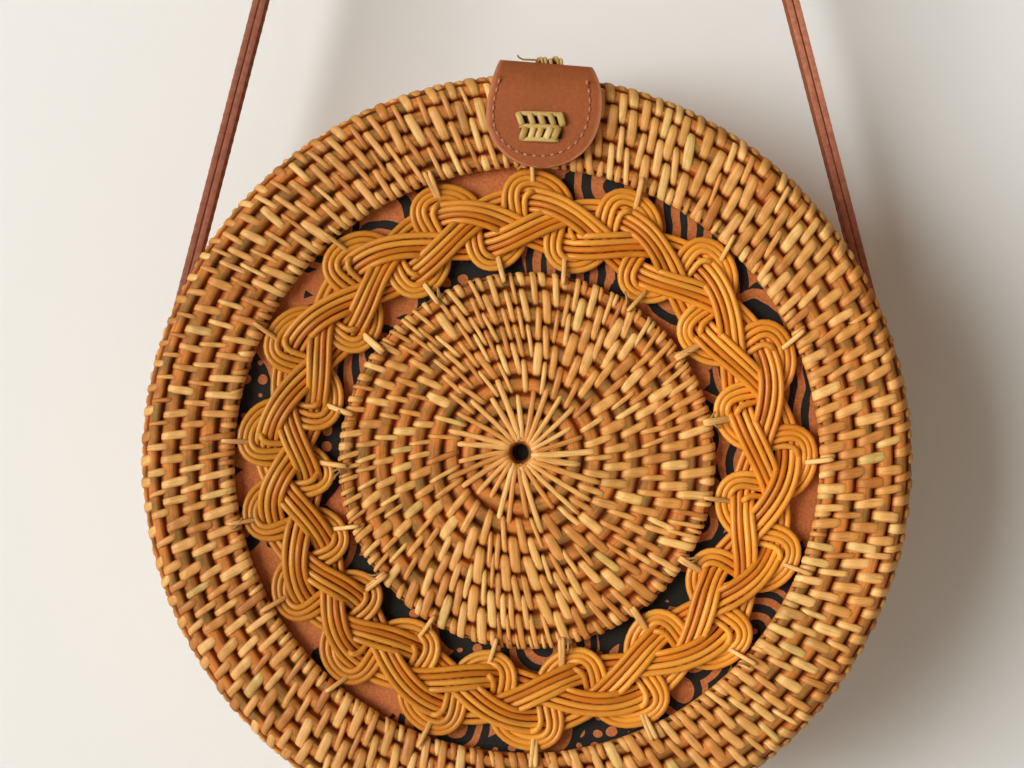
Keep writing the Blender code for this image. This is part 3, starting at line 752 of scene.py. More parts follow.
def lay_flat(name, strands, body, material, replaces=()):
    """One mesh of short flat strands."""
    bm, count = copies(strand_template(), len(strands))
    grains = []
    shade_and_tones = []
    for index, vert in enumerate(bm.verts):
        strand = strands[index // count]
        across, along, up = vert.co
        way = strand.end - strand.start
        side = way.cross(strand.outward).normalized()
        reach = min(along, 1 - along)
        arch = 1 - abs(2 * along - 1) ** 2.6
        down = strand.tuck * max(0.0, 1 - reach / 0.12) ** 2
        width = strand.width * (1 - 0.3 * max(0.0, 1 - reach / 0.15))
        vert.co = (strand.start + way * along + side * (across * width)
                   + strand.outward * (strand.rise * arch - down + up * FLAT_THICKNESS))
        grains.append((across * strand.width + strand.hue, way.length * along, strand.tone))
        # Painted light: across the strand for its shaded sides and highlit middle, along it for shade at its
        # tucked ends.
        shade_and_tones.append((1 - abs(across), min(1.0, 0.25 + reach / 0.2), strand.hue))
    woven_piece(bm, name, body, material, grains, shade_and_tones, replaces)


LIP = 0.4 * MM


class WeaveFrontOperator(Operator):
    """Weave the front half's ring and side wall"""

    bl_idname = "cane_bag.weave_front"
    bl_label = "Front half's weave"

    def execute(self, context):
        look = settings()
        draw = Random(11)
        slant = tan(look.stitch_slant)
        inside = BAG_RADIUS - WALL
        closing = [(inside, -PARTING_GAP / 2 - LIP), (inside, WALL - HALF_DEPTH)]
        lay_core("front_core_rows", FRONT_ROWS, closing, "front_half", ["front_rim_shell"],
                 deep_rows=FACE_ROWS)
        count = look.stitches_round
        turns = [2 * pi * (index + draw.uniform(-0.12, 0.12)) / count for index in range(count)]
        strands, ends = stitch_rows(FRONT_ROWS, 1, 11, draw, slant, turns, over=(0.5, 0.4))
        strands += edge_wraps(FRONT_ROWS, -0.5, 0.95, turns, 0.42, draw)
        strands += edge_wraps(FRONT_ROWS, 11.05, 12.4, between(ends), 0.42, draw)
        lay_strands("front_woven_strands", FRONT_ROWS, strands, slant, "front_half", finish("cane_strand"))
        return {"FINISHED"}


class WeaveDiscOperator(Operator):
    """Weave the coiled disc in the middle of the front"""

    bl_idname = "cane_bag.weave_disc"
    bl_label = "Middle disc's weave"

    def execute(self, context):
        look = settings()
        draw = Random(23)
        slant = tan(look.stitch_slant)
        closing = [(EYE_HOLE, WALL - HALF_DEPTH)]
        lay_core("disc_core_rows", DISC_ROWS, closing, "front_half", ["front_disc"], EYE_SHIFT)
        count = look.strands_at_eye
        rays = []
        for index in range(count):
            turn = 2 * pi * (index + draw.uniform(-0.1, 0.1)) / count
            rays.append(Strand(-0.05, draw.uniform(2.7, 4.2), turn, draw.uniform(1.3, 1.8) * MM, draw,
                               narrow=0.7))
            rays[-1].tone = min(0.8, rays[-1].tone + 0.05)
            rays[-1].lean *= 0.4
        turns = [ray.turn_at(DISC_ROWS, 3.5, slant) for ray in rays]
        strands, ends = stitch_rows(DISC_ROWS, 4, 9, draw, slant, turns, 3.9 * MM, 0.46, (0, 0.4), 0.58)
        strands += edge_wraps(DISC_ROWS, 9.05, 10.4, between(ends), 0.36, draw)
        lay_strands("disc_woven_strands", DISC_ROWS, rays + strands, slant, "front_half",
                    finish("disc_strand"), EYE_SHIFT)
        return {"FINISHED"}


class WeaveBackOperator(Operator):
    """Weave the back half's face and side wall"""

    bl_idname = "cane_bag.weave_back"
    bl_label = "Back half's weave"

    def execute(self, context):
        look = settings()
        draw = Random(37)
        slant = tan(look.stitch_slant)
        inside = BAG_RADIUS - WALL
        floor_depth = HALF_DEPTH - WALL
        closing = [(inside, PARTING_GAP / 2 + LIP), (inside, floor_depth), (0, floor_depth)]
        lay_core("back_core_rows", BACK_ROWS, closing, "back_half", ["back_shell"], deep_rows=0)
        count = look.strands_at_eye
        rays = [Strand(-0.75, draw.uniform(2.7, 3.5), 2 * pi * (index + draw.uniform(-0.15, 0.15)) / count,
                       draw.uniform(1.15, 1.7) * MM, draw, narrow=0.55) for index in range(count)]
        turns = [ray.turn_at(BACK_ROWS, 2.5, slant) for ray in rays]
        strands, ends = stitch_rows(BACK_ROWS, 3, 26, draw, slant, turns, 4.7 * MM, 0.47, (0, 0.4), slim=0,
                                    spend=0)
        strands += edge_wraps(BACK_ROWS, 26.05, 27.4, between(ends), 0.38, draw)
        half = len(strands) // 2
        lay_strands("back_woven_strands_inner", BACK_ROWS, rays + strands[:half], slant, "back_half",
                    finish("cane_strand"), dip=BACK_DIP)
        lay_strands("back_woven_strands_outer", BACK_ROWS, strands[half:], slant, "back_half",
                    finish("cane_strand"), dip=BACK_DIP)
        return {"FINISHED"}


# The plait

LOOP_TURNS = (1.4, 22.7, 43.0, 66.1, 89.4, 111.5, 132.4, 155.6, 179.4, 200.8, 222.6, 240.0, 258.8,
              275.2, 297.3, 319.0, 341.2)
PLAIT_UNITS = len(LOOP_TURNS)
RUNNING_LAPS = 3
# Each ribbon's middle radius and how far it swings off it, in mm.
LOOP_MIDDLE, LOOP_SWING = 62.2, 10.3
RUNNING_MIDDLE, RUNNING_SWING = 61.8, 5.6
# Where each ribbon rises over the others and dives under them: place in units and height in mm.
LOOP_KEYS = ((0.0, -0.2), (0.10, -0.9), (0.205, -1.75), (0.345, 0.75), (0.5, -0.3), (0.60, -0.9),
             (0.70, -1.75), (0.84, 0.75))
RUNNING_KEYS = ((0.275, -1.0), (0.86, 1.45), (1.365, -0.15))


def plait_turn(place):
    """The clockwise turn of a place counted in units, following the loops' uneven spacing."""
    def knot(index):
        return radians(LOOP_TURNS[index % PLAIT_UNITS] + 360 * (index // PLAIT_UNITS))

    low = floor(place)
    t = place - low
    a, b, c, d = (knot(low + step) for step in (-1, 0, 1, 2))
    return b + 0.5 * t * (c - a + t * (2 * a - 5 * b + 4 * c - d + t * (3 * (b - c) + d - a)))


def along_keys(keys, period, place):
    """A smooth wave through (place, level) keys that repeats."""
    place = place % period
    closed = [(keys[-1][0] - period, keys[-1][1])] + list(keys) + [(keys[0][0] + period, keys[0][1])]
    for (low, here), (high, there) in zip(closed, closed[1:]):
        if low <= place < high:
            return here + (there - here) * eased((place - low) / (high - low))
    return closed[-1][1]


def loop_point(unit):
    """The looping ribbon's middle as radius, turn and rise: one loop a unit, wider than its neck."""
    turn = 2 * pi * unit
    place = unit + 0.124 * sin(2 * turn - radians(25)) + 0.015
    radius = LOOP_MIDDLE + LOOP_SWING * cos(turn)
    return radius * MM, plait_turn(place), along_keys(LOOP_KEYS, 1.0, unit) * MM


def running_point(unit):
    """The running ribbon's middle as radius, turn and rise: one wave in as many units as it has laps."""
    radius = RUNNING_MIDDLE + RUNNING_SWING * cos(2 * pi * (unit - 1.9) / RUNNING_LAPS)
    return radius * MM, plait_turn(unit), along_keys(RUNNING_KEYS, 1.5, unit) * MM


def smoothed(values, rounds):
    """A closed run of values, each pulled towards its neighbours."""
    for _ in range(rounds):
        before, ahead = values[-1:] + values[:-1], values[1:] + values[:1]
        values = [here * 0.5 + (last + there) * 0.25 for last, here, there in zip(before, values, ahead)]
    return values


def rounded(values, tightest):
    """A closed run of points, eased wherever it bends round less than the tightest radius."""
    for _ in range(90):
        eased_run = []
        for index, here in enumerate(values):
            last, there = values[index - 3], values[(index + 3) % len(values)]
            pull = (last + there) / 2 - here
            reach = (there - last).length / 2
            eased_run.append(here + pull * 0.3 if pull.length * 2 * tightest > reach * reach else here)
        values = eased_run
    return values


class CaneLine:
    """One cane of a ribbon: its points across the face, and its rise, which the others may push."""

    def __init__(self, point_at, laps, steps, aside, ribbon):
        total = PLAIT_UNITS * laps * steps
        self.flat = []
        self.rise = []
        self.place = []
        self.ribbon = ribbon
        for index in range(total):
            unit = index / steps
            radius, turn, rise = point_at(unit)
            ahead = Vector(self.spot(*point_at(unit + 0.02)[:2]))
            ahead -= Vector(self.spot(*point_at(unit - 0.02)[:2]))
            cross = Vector((ahead.y, -ahead.x)).normalized()
            self.flat.append(Vector(self.spot(radius, turn)) + cross * aside(unit))
            self.rise.append(rise)
            self.place.append(unit)
        self.flat = smoothed(rounded(self.flat, 2.6 * MM), 6 if laps == 1 else 3)

    @staticmethod
    def spot(radius, turn):
        """A place across the face, right and up from the bag's middle."""
        return radius * sin(turn), radius * cos(turn)


def cane_tubes(name, runs, radius, body, material, shade_and_tones, closed=False, sides=1, replaces=()):
    """One mesh of round canes along runs of points."""
    curve = bpy.data.curves.new(name, "CURVE")
    curve.dimensions = "3D"
    curve.bevel_depth = radius
    curve.bevel_resolution = sides
    curve.use_fill_caps = True
    for run in runs:
        spline = curve.splines.new("POLY")
        spline.points.add(len(run) - 1)
        spline.use_cyclic_u = closed
        for point, place in zip(spline.points, run):
            point.co = (*place, 1)
    holder = bpy.data.objects.new(name + "_curve", curve)
    bpy.context.scene.collection.objects.link(holder)
    mesh = bpy.data.meshes.new_from_object(holder.evaluated_get(bpy.context.evaluated_depsgraph_get()))
    bpy.data.objects.remove(holder)
    bpy.data.curves.remove(curve)
    mesh.name = name
    mesh.materials.clear()
    mesh.materials.append(material)
    mesh.shade_smooth()
    values = []
    lights = []
    per = len(mesh.vertices) // sum(len(run) for run in runs)
    for run, tone in zip(runs, shade_and_tones):
        travelled = 0.0
        for index in range(len(run)):
            if index:
                travelled += (Vector(run[index]) - Vector(run[index - 1])).length
            end = 9 if closed else min(index, len(run) - 1 - index)
            for spot in range(per):
                values.append((spot / per * 6.28 * radius + tone, travelled, tone))
                lights.append((0.5, min(1.0, 0.35 + end * 0.3), tone))
    while len(values) < len(mesh.vertices):
        values.append((0, 0, 0.5))
        lights.append((0.5, 0.4, 0.5))
    mark(mesh, "grain", values[:len(mesh.vertices)])
    mark(mesh, "strand", lights[:len(mesh.vertices)])
    new_object(name, mesh, body, replaces)


def spread(unit, laps, seed):
    """How loosely the canes of a ribbon lie, from place to place."""
    turn = 2 * pi * unit / (PLAIT_UNITS * laps)
    return 1 + 0.15 * noise.noise(Vector((6.5 * laps * sin(turn), 6.5 * laps * cos(turn), seed)))


def stray(unit, laps, seed):
    """One cane's own wander."""
    turn = 2 * pi * unit / (PLAIT_UNITS * laps)
    return 0.16 * MM * noise.noise(Vector((4.5 * laps * sin(turn), 4.5 * laps * cos(turn), 5.7 * seed)))


class PlaitOperator(Operator):
    """Plait the ring of amber cane between the rim and the disc"""

    bl_idname = "cane_bag.plait"
    bl_label = "Plaited ring"

    def execute(self, context):
        look = settings()
        gap = look.plait_cane * 2.1
        middle = look.plait_canes / 2 - 0.5
        lines = []
        for number in range(look.plait_canes):
            def loop_aside(unit, number=number):
                tight = 1 - 0.14 * (0.5 + 0.5 * cos(4 * pi * unit)) ** 2
                return (number - middle) * gap * tight * spread(unit, 1, 3.1) + stray(unit, 1, number)

            def running_aside(unit, number=number):
                aside = (number - middle) * gap * spread(unit, RUNNING_LAPS, 8.4)
                return aside + stray(unit, RUNNING_LAPS, number + 9)

            lines.append(CaneLine(loop_point, 1, 40, loop_aside, 0))
            lines.append(CaneLine(running_point, RUNNING_LAPS, 16, running_aside, 1))
        settle(lines, look.plait_cane * 2 * 0.94)
        draw = Random(5)
        face = look.plait_depth - HALF_DEPTH
        for ribbon, name, node in ((0, "plait_looping_ribbon", "plait_looping_cane"),
                                   (1, "plait_running_ribbon", "plait_running_cane")):
            runs = [[CENTRE + Vector((flat.x, face - rise, flat.y))
                     for flat, rise in zip(line.flat, line.rise)] for line in lines if line.ribbon == ribbon]
            cane_tubes(name, runs, look.plait_cane, "front_half", finish("plait_cane"),
                       [draw.random() for _ in runs], closed=True, sides=2, replaces=[node])
        return {"FINISHED"}


def settle(lines, thickness, rounds=36):
    """Pushes crossing canes apart in height until they rest on each other, keeping who passes over whom."""
    spots = [(number, index) for number, line in enumerate(lines) for index in range(len(line.flat))]
    tree = kdtree.KDTree(len(spots))
    for count, (number, index) in enumerate(spots):
        tree.insert((*lines[number].flat[index], 0), count)
    tree.balance()
    pairs = []
    for count, (number, index) in enumerate(spots):
        line = lines[number]
        for _, other, distance in tree.find_range((*line.flat[index], 0), thickness * 0.98):
            if other <= count:
                continue
            there, place = spots[other]
            mate = lines[there]
            away = abs(line.place[index] - mate.place[place])
            away = min(away, PLAIT_UNITS * (RUNNING_LAPS if line.ribbon else 1) - away)
            if mate.ribbon == line.ribbon and away < 0.45:
                continue
            sign = 1 if line.rise[index] > mate.rise[place] else -1
            pairs.append((number, index, there, place, sqrt(max(thickness ** 2 - distance ** 2, 0)), sign))
    for _ in range(rounds):
        rises = [line.rise for line in lines]
        for number, index, there, place, need, sign in pairs:
            lack = need - (rises[number][index] - rises[there][place]) * sign
            if lack > 0:
                rises[number][index] += lack * 0.4 * sign
                rises[there][place] -= lack * 0.4 * sign
        for line in lines:
            line.rise = smoothed(line.rise, 1)


class PlaitTiesOperator(Operator):
    """Tie the plait's loops to the rim and to the disc"""

    bl_idname = "cane_bag.plait_ties"
    bl_label = "Plait's ties"

    def execute(self, context):
        look = settings()
        draw = Random(71)
        ties = []
        loose = []
        face = look.plait_depth - HALF_DEPTH
        front = -HALF_DEPTH - 0.7 * MM
        for unit in range(PLAIT_UNITS):
            for inner in (False, True):
                turn = plait_turn(unit + (0.5 if inner else 0.0)) + draw.uniform(-0.03, 0.03)
                edge = DISC_RADIUS - 2.6 * MM if inner else WINDOW_RADIUS + 3.2 * MM
                way = 1 if inner else -1
                lean = draw.uniform(-0.035, 0.035)
                for strand in range(draw.choice((1, 1, 2))):
                    off = strand * 0.016
                    start = on_bag(edge, turn + off, front)
                    end = on_bag(edge + way * draw.uniform(7.8, 9.2) * MM, turn + off * 0.4 + lean,
                                 face + 1.6 * MM)
                    ties.append(FlatStrand(start, end, OUTWARD, draw.uniform(1.2, 1.5) * MM, 1.2 * MM, draw,
                                           tuck=0.35 * MM))
                for end in range(draw.choice((0, 1, 2)) if inner else draw.choice((0, 0, 1))):
                    bend = draw.uniform(-1, 1)
                    start = on_bag(edge + way * 0.8 * MM, turn + draw.uniform(-0.03, 0.03), front + 0.5 * MM)
                    side = Vector((cos(turn), 0, -sin(turn)))
                    away = Vector((sin(turn), 0, cos(turn))) * way
                    loose.append([start + away * t * draw.uniform(2.6, 3.4) * MM
                                  + side * bend * t * t * 2.4 * MM + OUTWARD * (t * (1.4 - t) * 1.2 * MM)
                                  for t in (0, 0.25, 0.5, 0.75, 1)])
        for tie in ties:
            tie.tone = draw.uniform(0.5, 0.85)
        lay_flat("plait_ties", ties, "front_half", finish("cane_strand"))
        cane_tubes("plait_loose_ends", loose, 0.3 * MM, "front_half", finish("pale_strand"),
                   [draw.uniform(0.2, 0.8) for _ in loose])
        return {"FINISHED"}


# Cloth

PANEL_RADIUS_MM = 94
CLOTH_THICKNESS = 0.6 * MM


class LiningOperator(Operator):
    """Line both halves with printed cloth"""

    bl_idname = "cane_bag.lining"
    bl_label = "Printed lining"

    def execute(self, context):
        for side, half in ((-1, "front"), (1, "back")):
            body = half + "_half"
            panel = HALF_DEPTH - WALL - FIT_GAP
            profile = [(radius * MM, side * panel) for radius in range(0, PANEL_RADIUS_MM, 2)]
            cloth_piece(half + "_lining_cloth", profile, side, body, half + "_lining_panel", inward=False)
            outer = BAG_RADIUS - WALL - FIT_GAP
            low, high = panel - 2 * MM, 0.03 * MM
            band = [(outer, side * (low + (high - low) * step / 14)) for step in range(15)]
            cloth_piece(half + "_lining_wall", band, side, body, half + "_lining_band", inward=True)
        return {"FINISHED"}


def cloth_piece(name, profile, side, body, node, inward):
    """Cloth turned round the bag, with slight puckers, on the inside of its wall."""
    bm = bmesh.new()
    verts = [bm.verts.new(on_bag(radius, 0, depth)) for radius, depth in profile]
    edges = [bm.edges.new(pair) for pair in zip(verts, verts[1:])]
    bmesh.ops.spin(bm, geom=verts + edges, axis=(0, 1, 0), cent=CENTRE, angle=2 * pi, steps=128,
                   use_merge=True)
    bmesh.ops.remove_doubles(bm, verts=bm.verts, dist=0.01 * MM)
    bmesh.ops.recalc_face_normals(bm, faces=bm.faces)
    for vert in bm.verts:
        off = vert.co - CENTRE
        out = Vector((off.x, 0, off.z))
        pucker = 0.5 * MM * noise.noise(off * 60) + 0.2 * MM * noise.noise(off * 220)
        inside = abs(pucker) + 0.55 * MM
        if inward:
            vert.co -= out.normalized() * inside
        else:
            vert.co.y -= side * inside
    mesh = mesh_of(bm, name, finish("print"))
    thick = new_object(name, mesh, body, [node]).modifiers.new("thickness", "SOLIDIFY")
    thick.thickness = CLOTH_THICKNESS
    thick.offset = 0


# Leather

def leather_strip(name, spine, half_width, thickness, body, finishes, replaces=(),
                  across=Vector((1, 0, 0)), columns=14, round_edge=0.4 * MM, bend=None):
    """Leather along a spine of (point, outward) pairs; half_width gives the half width at each.

    The finishes are the face's and the cut edge's. A bend moves each point by its place and its share
    of the width.
    """
    bm = bmesh.new()
    bmesh.ops.create_grid(bm, x_segments=columns, y_segments=len(spine) - 1, size=0.5)
    borders = []
    total = len(spine) - 1
    for vert in bm.verts:
        share = vert.co.x * 2
        index = round((vert.co.y + 0.5) * total)
        width = half_width[index]
        vert.co = spine[index][0] + across * share * width
        if bend:
            vert.co += bend(vert.co, share)
        edge = min((1 - abs(share)) * width, 9 * MM)
        borders.append((share, index / total, min(1.0, edge / (3.0 * MM))))
    bmesh.ops.recalc_face_normals(bm, faces=bm.faces)
    middle = bm.faces[:][len(bm.faces) // 2]
    index = min(range(len(spine)), key=lambda i: (spine[i][0] - middle.calc_center_median()).length)
    if middle.normal.dot(spine[index][1]) < 0:
        bmesh.ops.reverse_faces(bm, faces=bm.faces)
    mesh = mesh_of(bm, name, finish(finishes[0]), normals=False)
    mesh.materials.append(finish(finishes[1]))
    mark(mesh, "border", borders)
    obj = new_object(name, mesh, body, replaces)
    thick = obj.modifiers.new("thickness", "SOLIDIFY")
    thick.thickness = thickness
    thick.offset = -1
    thick.use_even_offset = True
    thick.material_offset_rim = 1
    soft = obj.modifiers.new("soft edge", "BEVEL")
    soft.width = round_edge
    soft.segments = 2
    soft.limit_method = "ANGLE"
    soft.angle_limit = radians(50)


def rounded_end(left, radius, least):
    """The share of the full width that a strip keeps at a distance left before its rounded end."""
    return sqrt(max(1 - ((radius - left) / radius) ** 2, least)) if left < radius else 1


def stitches(name, line, body, size=(1.6 * MM, 0.33 * MM), tint="thread"):
    """Threads lying on leather, one for each (middle, direction, outward), size long and thick."""
    ball = bmesh.new()
    bmesh.ops.create_icosphere(ball, subdivisions=1, radius=1)
    template = bpy.data.meshes.new("stitch_template")
    ball.to_mesh(template)
    ball.free()
    bm, count = copies(template, len(line))
    for index, vert in enumerate(bm.verts):
        place, way, outward = line[index // count]
        side = way.cross(outward).normalized()
        co = vert.co.copy()
        vert.co = place + way * co.x * size[0] / 2 + side * co.y * size[1] + outward * (co.z * size[1] * 0.8)
    new_object(name, mesh_of(bm, name, finish(tint)), body)


def evenly(points, pitch, carried=0.0):
    """Points and directions at a pitch along a run of points."""
    out = []
    for here, there in zip(points, points[1:]):
        way = there - here
        run = way.length
        if run < 1e-9:
            continue
        way = way / run
        while carried <= run:
            out.append((here + way * carried, way))
            carried += pitch
        carried -= run
    return out


TAB_DROP, FRONT_STEPS, CORNER_STEPS, TOP_STEPS = 24.5 * MM, 22, 10, 6


def tab_spine():
    """The tab's outer face: from its tip up the front, round the corner and back to the fold."""
    bend = Vector((TAB_MIDDLE, CENTRE.y + CORNER_RADIUS - HALF_DEPTH, CENTRE.z + BAG_RADIUS - CORNER_RADIUS))
    reach = CORNER_RADIUS + FIT_GAP + LEATHER
    spine = []
    for step in range(FRONT_STEPS + 1):
        down = (TAB_DROP - CORNER_RADIUS) * (1 - step / FRONT_STEPS)
        spine.append((bend + Vector((0, -reach, -down)), OUTWARD, reach + down))
    for step in range(1, CORNER_STEPS + 1):
        turn = QUARTER * step / CORNER_STEPS
        outward = Vector((0, -cos(turn), sin(turn)))
        spine.append((bend + outward * reach, outward, reach - reach * sin(turn)))
    back = JOINTS["tongue_fold"].y - LEATHER / 2 - FIT_GAP
    for step in range(1, TOP_STEPS + 1):
        y = bend.y + (back - bend.y) * step / TOP_STEPS
        spine.append((Vector((bend.x, y, bend.z + reach)), UP, 0.0))
    return spine


TAB_SKEW = 1.9 * MM


def tab_bend(place, share):
    """The fold over the rim runs a little askew: higher at the left, level again where the tongue starts."""
    height = eased((place.z - CENTRE.z - BAG_RADIUS + 15 * MM) / (13 * MM))
    level = eased((JOINTS["tongue_fold"].y - 2 * MM - place.y) / (8 * MM))
    return Vector((0.9 * MM * height, 0, TAB_SKEW * (1 - share) / 2 * height * level - 0.6 * MM))


TAB_TOP, TAB_WIDE, TAB_WIDE_AT, TAB_TIP = 11.8 * MM, 14.7 * MM, 12.5 * MM, 27.0 * MM
SEAM_TOP, STITCH_PITCH = 4.5 * MM, 2.3 * MM


def tab_half_width(down):
    """Half the tab's width at a distance below its top edge."""
    if down < TAB_WIDE_AT:
        return TAB_TOP + (TAB_WIDE - TAB_TOP) * sin(QUARTER * min(1.0, down / TAB_WIDE_AT))
    share = min(1.0, (down - TAB_WIDE_AT) / (TAB_TIP - TAB_WIDE_AT))
    return max(TAB_WIDE * (1 - share ** 2.15) ** 0.5, 1.5 * MM)


class TabOperator(Operator):
    """Cut and stitch the leather tab over the front"""

    bl_idname = "cane_bag.tab"
    bl_label = "Leather tab"

    def execute(self, context):
        spine = tab_spine()
        widths = [tab_half_width(down) for _, _, down in spine]
        leather_strip("leather_tab", [(place, outward) for place, outward, _ in spine], widths, LEATHER,
                      "front_half", ("tab_leather", "tab_edge"), ["front_tab"], bend=tab_bend)
        top = spine[FRONT_STEPS][0].z + CORNER_RADIUS + FIT_GAP + LEATHER
        corner = Vector((TAB_MIDDLE, spine[0][0].y - 0.04 * MM, top))
        downs = [SEAM_TOP + (TAB_TIP - SEAM_TOP) * step / 59 for step in range(60)]
        outline = [Vector((tab_half_width(down), 0, -down)) for down in downs]
        outline += [Vector((-point.x, 0, point.z)) for point in outline[::-1]]
        seam = []
        for index, point in enumerate(outline):
            ahead = outline[min(index + 1, len(outline) - 1)] - outline[max(index - 1, 0)]
            inward = Vector((ahead.z, 0, -ahead.x)).normalized()
            inset = 3.1 * MM - 1.3 * MM * max(0.0, -point.x / TAB_WIDE)
            place = corner + point + inward * inset
            seam.append(place + tab_bend(place, point.x / TAB_WIDE))
        threads = [(place, way, OUTWARD) for place, way in evenly(seam, STITCH_PITCH)]
        stitches("tab_stitches", threads, "front_half")
        # Dark dots of painted shade in the stitch holes between the threads.
        holes = [(place, way, OUTWARD) for place, way in evenly(seam, STITCH_PITCH, STITCH_PITCH / 2)]
        stitches("tab_stitch_hole_shade", holes, "front_half", (0.5 * MM, 0.24 * MM), "hole")
        return {"FINISHED"}


TONGUE_HALF = 10 * MM


def refinish(node, name):
    """Gives a solid that is shown as it is one of the finishes."""
    for slot in FRAME["nodes"][node].material_slots:
        slot.material = finish(name)


class TongueOperator(Operator):
    """Cut the tongue and the keeper of the closure"""

    bl_idname = "cane_bag.tongue"
    bl_label = "Closure tongue and keeper"

    def execute(self, context):
        fold = JOINTS["tongue_fold"]
        low, high = corners_of("closure_tongue")
        top = high.z
        rest = fold.z + LEATHER / 2
        length = high.y - fold.y
        spine = []
        widths = []
        for step in range(37):
            y = length * step / 36
            rise = (top - rest) * eased((y - 4 * MM) / (12 * MM))
            spine.append((Vector((fold.x, fold.y + y, rest + rise)), UP))
            widths.append(TONGUE_HALF * rounded_end(length - y, 9 * MM, 0.02))
        leather_strip("leather_tongue", spine, widths, LEATHER, "tongue",
                      ("tab_leather", "tab_edge"), ["closure_tongue"])
        edge = []
        for sign in (1, -1):
            side = [(place + Vector((sign * (width - 1.8 * MM), 0, 0.06 * MM)))
                    for (place, _), width in list(zip(spine, widths))[4:] if width > 3 * MM]
            edge += side if sign > 0 else side[::-1]
        threads = [(place, way, UP) for place, way in evenly(edge, 2.4 * MM)]
        stitches("tongue_stitches", threads, "tongue")

        low, high = corners_of("back_keeper")
        spine = []
        widths = []
        for step in range(25):
            y = low.y + (high.y - low.y) * step / 24
            spine.append((Vector((fold.x, y, high.z)), UP))
            widths.append(TONGUE_HALF * rounded_end(high.y - y, 5 * MM, 0.05))
        leather_strip("leather_keeper", spine, widths, high.z - low.z, "back_half",
                      ("tab_leather", "tab_edge"), ["back_keeper"])
        for node in ("catch_magnet_lower", "catch_magnet_upper"):
            refinish(node, "steel")
        return {"FINISHED"}


class SplitTiesOperator(Operator):
    """Weave the split cane ties that hold the leather"""

    bl_idname = "cane_bag.split_ties"
    bl_label = "Woven ties"

    def execute(self, context):
        draw = Random(3)
        low, high = corners_of("front_tab_tie")
        centre = (low + high) / 2
        patch = Vector((centre.x - 0.5 * MM, high.y + 0.1 * MM, centre.z - 1.6 * MM))
        strands = []
        for row, pitch, shift in ((1, 2.6, 0.0), (-1, 2.15, -0.3)):
            for index in range(5):
                middle = patch + Vector(((index - 2) * pitch + shift, 0, row * 1.75)) * MM
                middle.x += draw.uniform(-0.2, 0.2) * MM
                reach = Vector((-row * draw.uniform(0.55, 0.85) * MM, 0, 1.9 * MM))
                strands.append(FlatStrand(middle - reach, middle + reach, OUTWARD,
                                          draw.uniform(1.6, 1.95) * MM, draw.uniform(0.6, 1.0) * MM, draw,
                                          tuck=0.5 * MM))
        for height, left, right in ((3.3, -6.1, 6.0), (0.1, -5.6, 5.2), (-3.2, -5.2, 4.6)):
            start, end = Vector((left, 0, height)) * MM, Vector((right, 0, height - 0.4)) * MM
            strands.append(FlatStrand(patch + start, patch + end, OUTWARD, 1.35 * MM, 0.5 * MM, draw,
                                      tuck=0.4 * MM))
        lay_flat("front_tie_strands", strands, "front_half", finish("pale_strand"),
                 ["front_tab_tie"])
        # A near-black plate under the patch: painted shade in the gaps between the tie strands.
        bm = bmesh.new()
        bmesh.ops.create_cube(bm, size=1)
        bmesh.ops.scale(bm, vec=(10.6 * MM, 0.3 * MM, 6.6 * MM), verts=bm.verts)
        corners = [edge for edge in bm.edges if abs(edge.verts[0].co.y - edge.verts[1].co.y) > 0.2 * MM]
        bmesh.ops.bevel(bm, geom=corners, offset=0.6 * MM, segments=4, profile=0.5, material=-1,
                        affect="EDGES")
        bmesh.ops.translate(bm, vec=patch, verts=bm.verts)
        mesh = mesh_of(bm, "front_tie_slot_shade", finish("slot"))
        new_object("front_tie_slot_shade", mesh, "front_half")

        low, high = corners_of("top_tab_tie")
        strands = []
        middle_y = (low.y + high.y) / 2
        for row in (-1, 1):
            for index in range(5):
                x = low.x + (high.x - low.x) * (index + 0.5) / 5
                middle = Vector((x, middle_y + row * 1.4 * MM, low.z + 0.4 * MM))
                reach = Vector((row * draw.uniform(0.3, 0.9) * MM, 1.6 * MM, 0))
                strands.append(FlatStrand(middle - reach, middle + reach, UP, draw.uniform(0.9, 1.2) * MM,
                                          draw.uniform(0.6, 1.5) * MM, draw, tuck=0.9 * MM))
        lay_flat("top_tie_strands", strands, "front_half", finish("pale_strand"),
                 ["top_tab_tie"])
        start = Vector((low.x + 1 * MM, low.y + 1.0 * MM, low.z + 1.2 * MM))
        curl = [start + Vector((x * MM, 0, z * MM)) for x, z in
                ((0, 0), (-1.5, 0.25), (-3.2, 0.3), (-4.6, 0.35), (-5.6, 0.8), (-6.1, 1.5))]
        cane_tubes("top_tie_loose_end", [curl], 0.26 * MM, "front_half",
                   finish("pale_strand"), [0.4])

        low, high = corners_of("back_keeper_tie")
        runs = []
        for row in (-1, 1):
            for index in range(5):
                x = low.x + (high.x - low.x) * (index + 0.5) / 5
                mid = (low.y + high.y) / 2 + row * 1.15 * MM
                runs.append([Vector((x + row * t * 0.6 * MM, mid + t * 1.25 * MM,
                                     low.z + 0.3 * MM + (1 - abs(t) ** 2.5) * 0.9 * MM))
                             for t in (-1, -0.6, 0, 0.6, 1)])
        cane_tubes("keeper_tie_strands", runs, 0.55 * MM, "back_half", finish("pale_strand"),
                   [draw.uniform(0.25, 0.9) for _ in runs], replaces=["back_keeper_tie"])
        return {"FINISHED"}


STRAP_LEAN = radians(14.5)
STRAP_INSIDE = 101.2 * MM
CROWN_RADIUS = 18 * MM
STRAP_LAYER = 1.6 * MM
STRAP_HALF = 4.65 * MM
STRAP_TAIL = 8 * MM
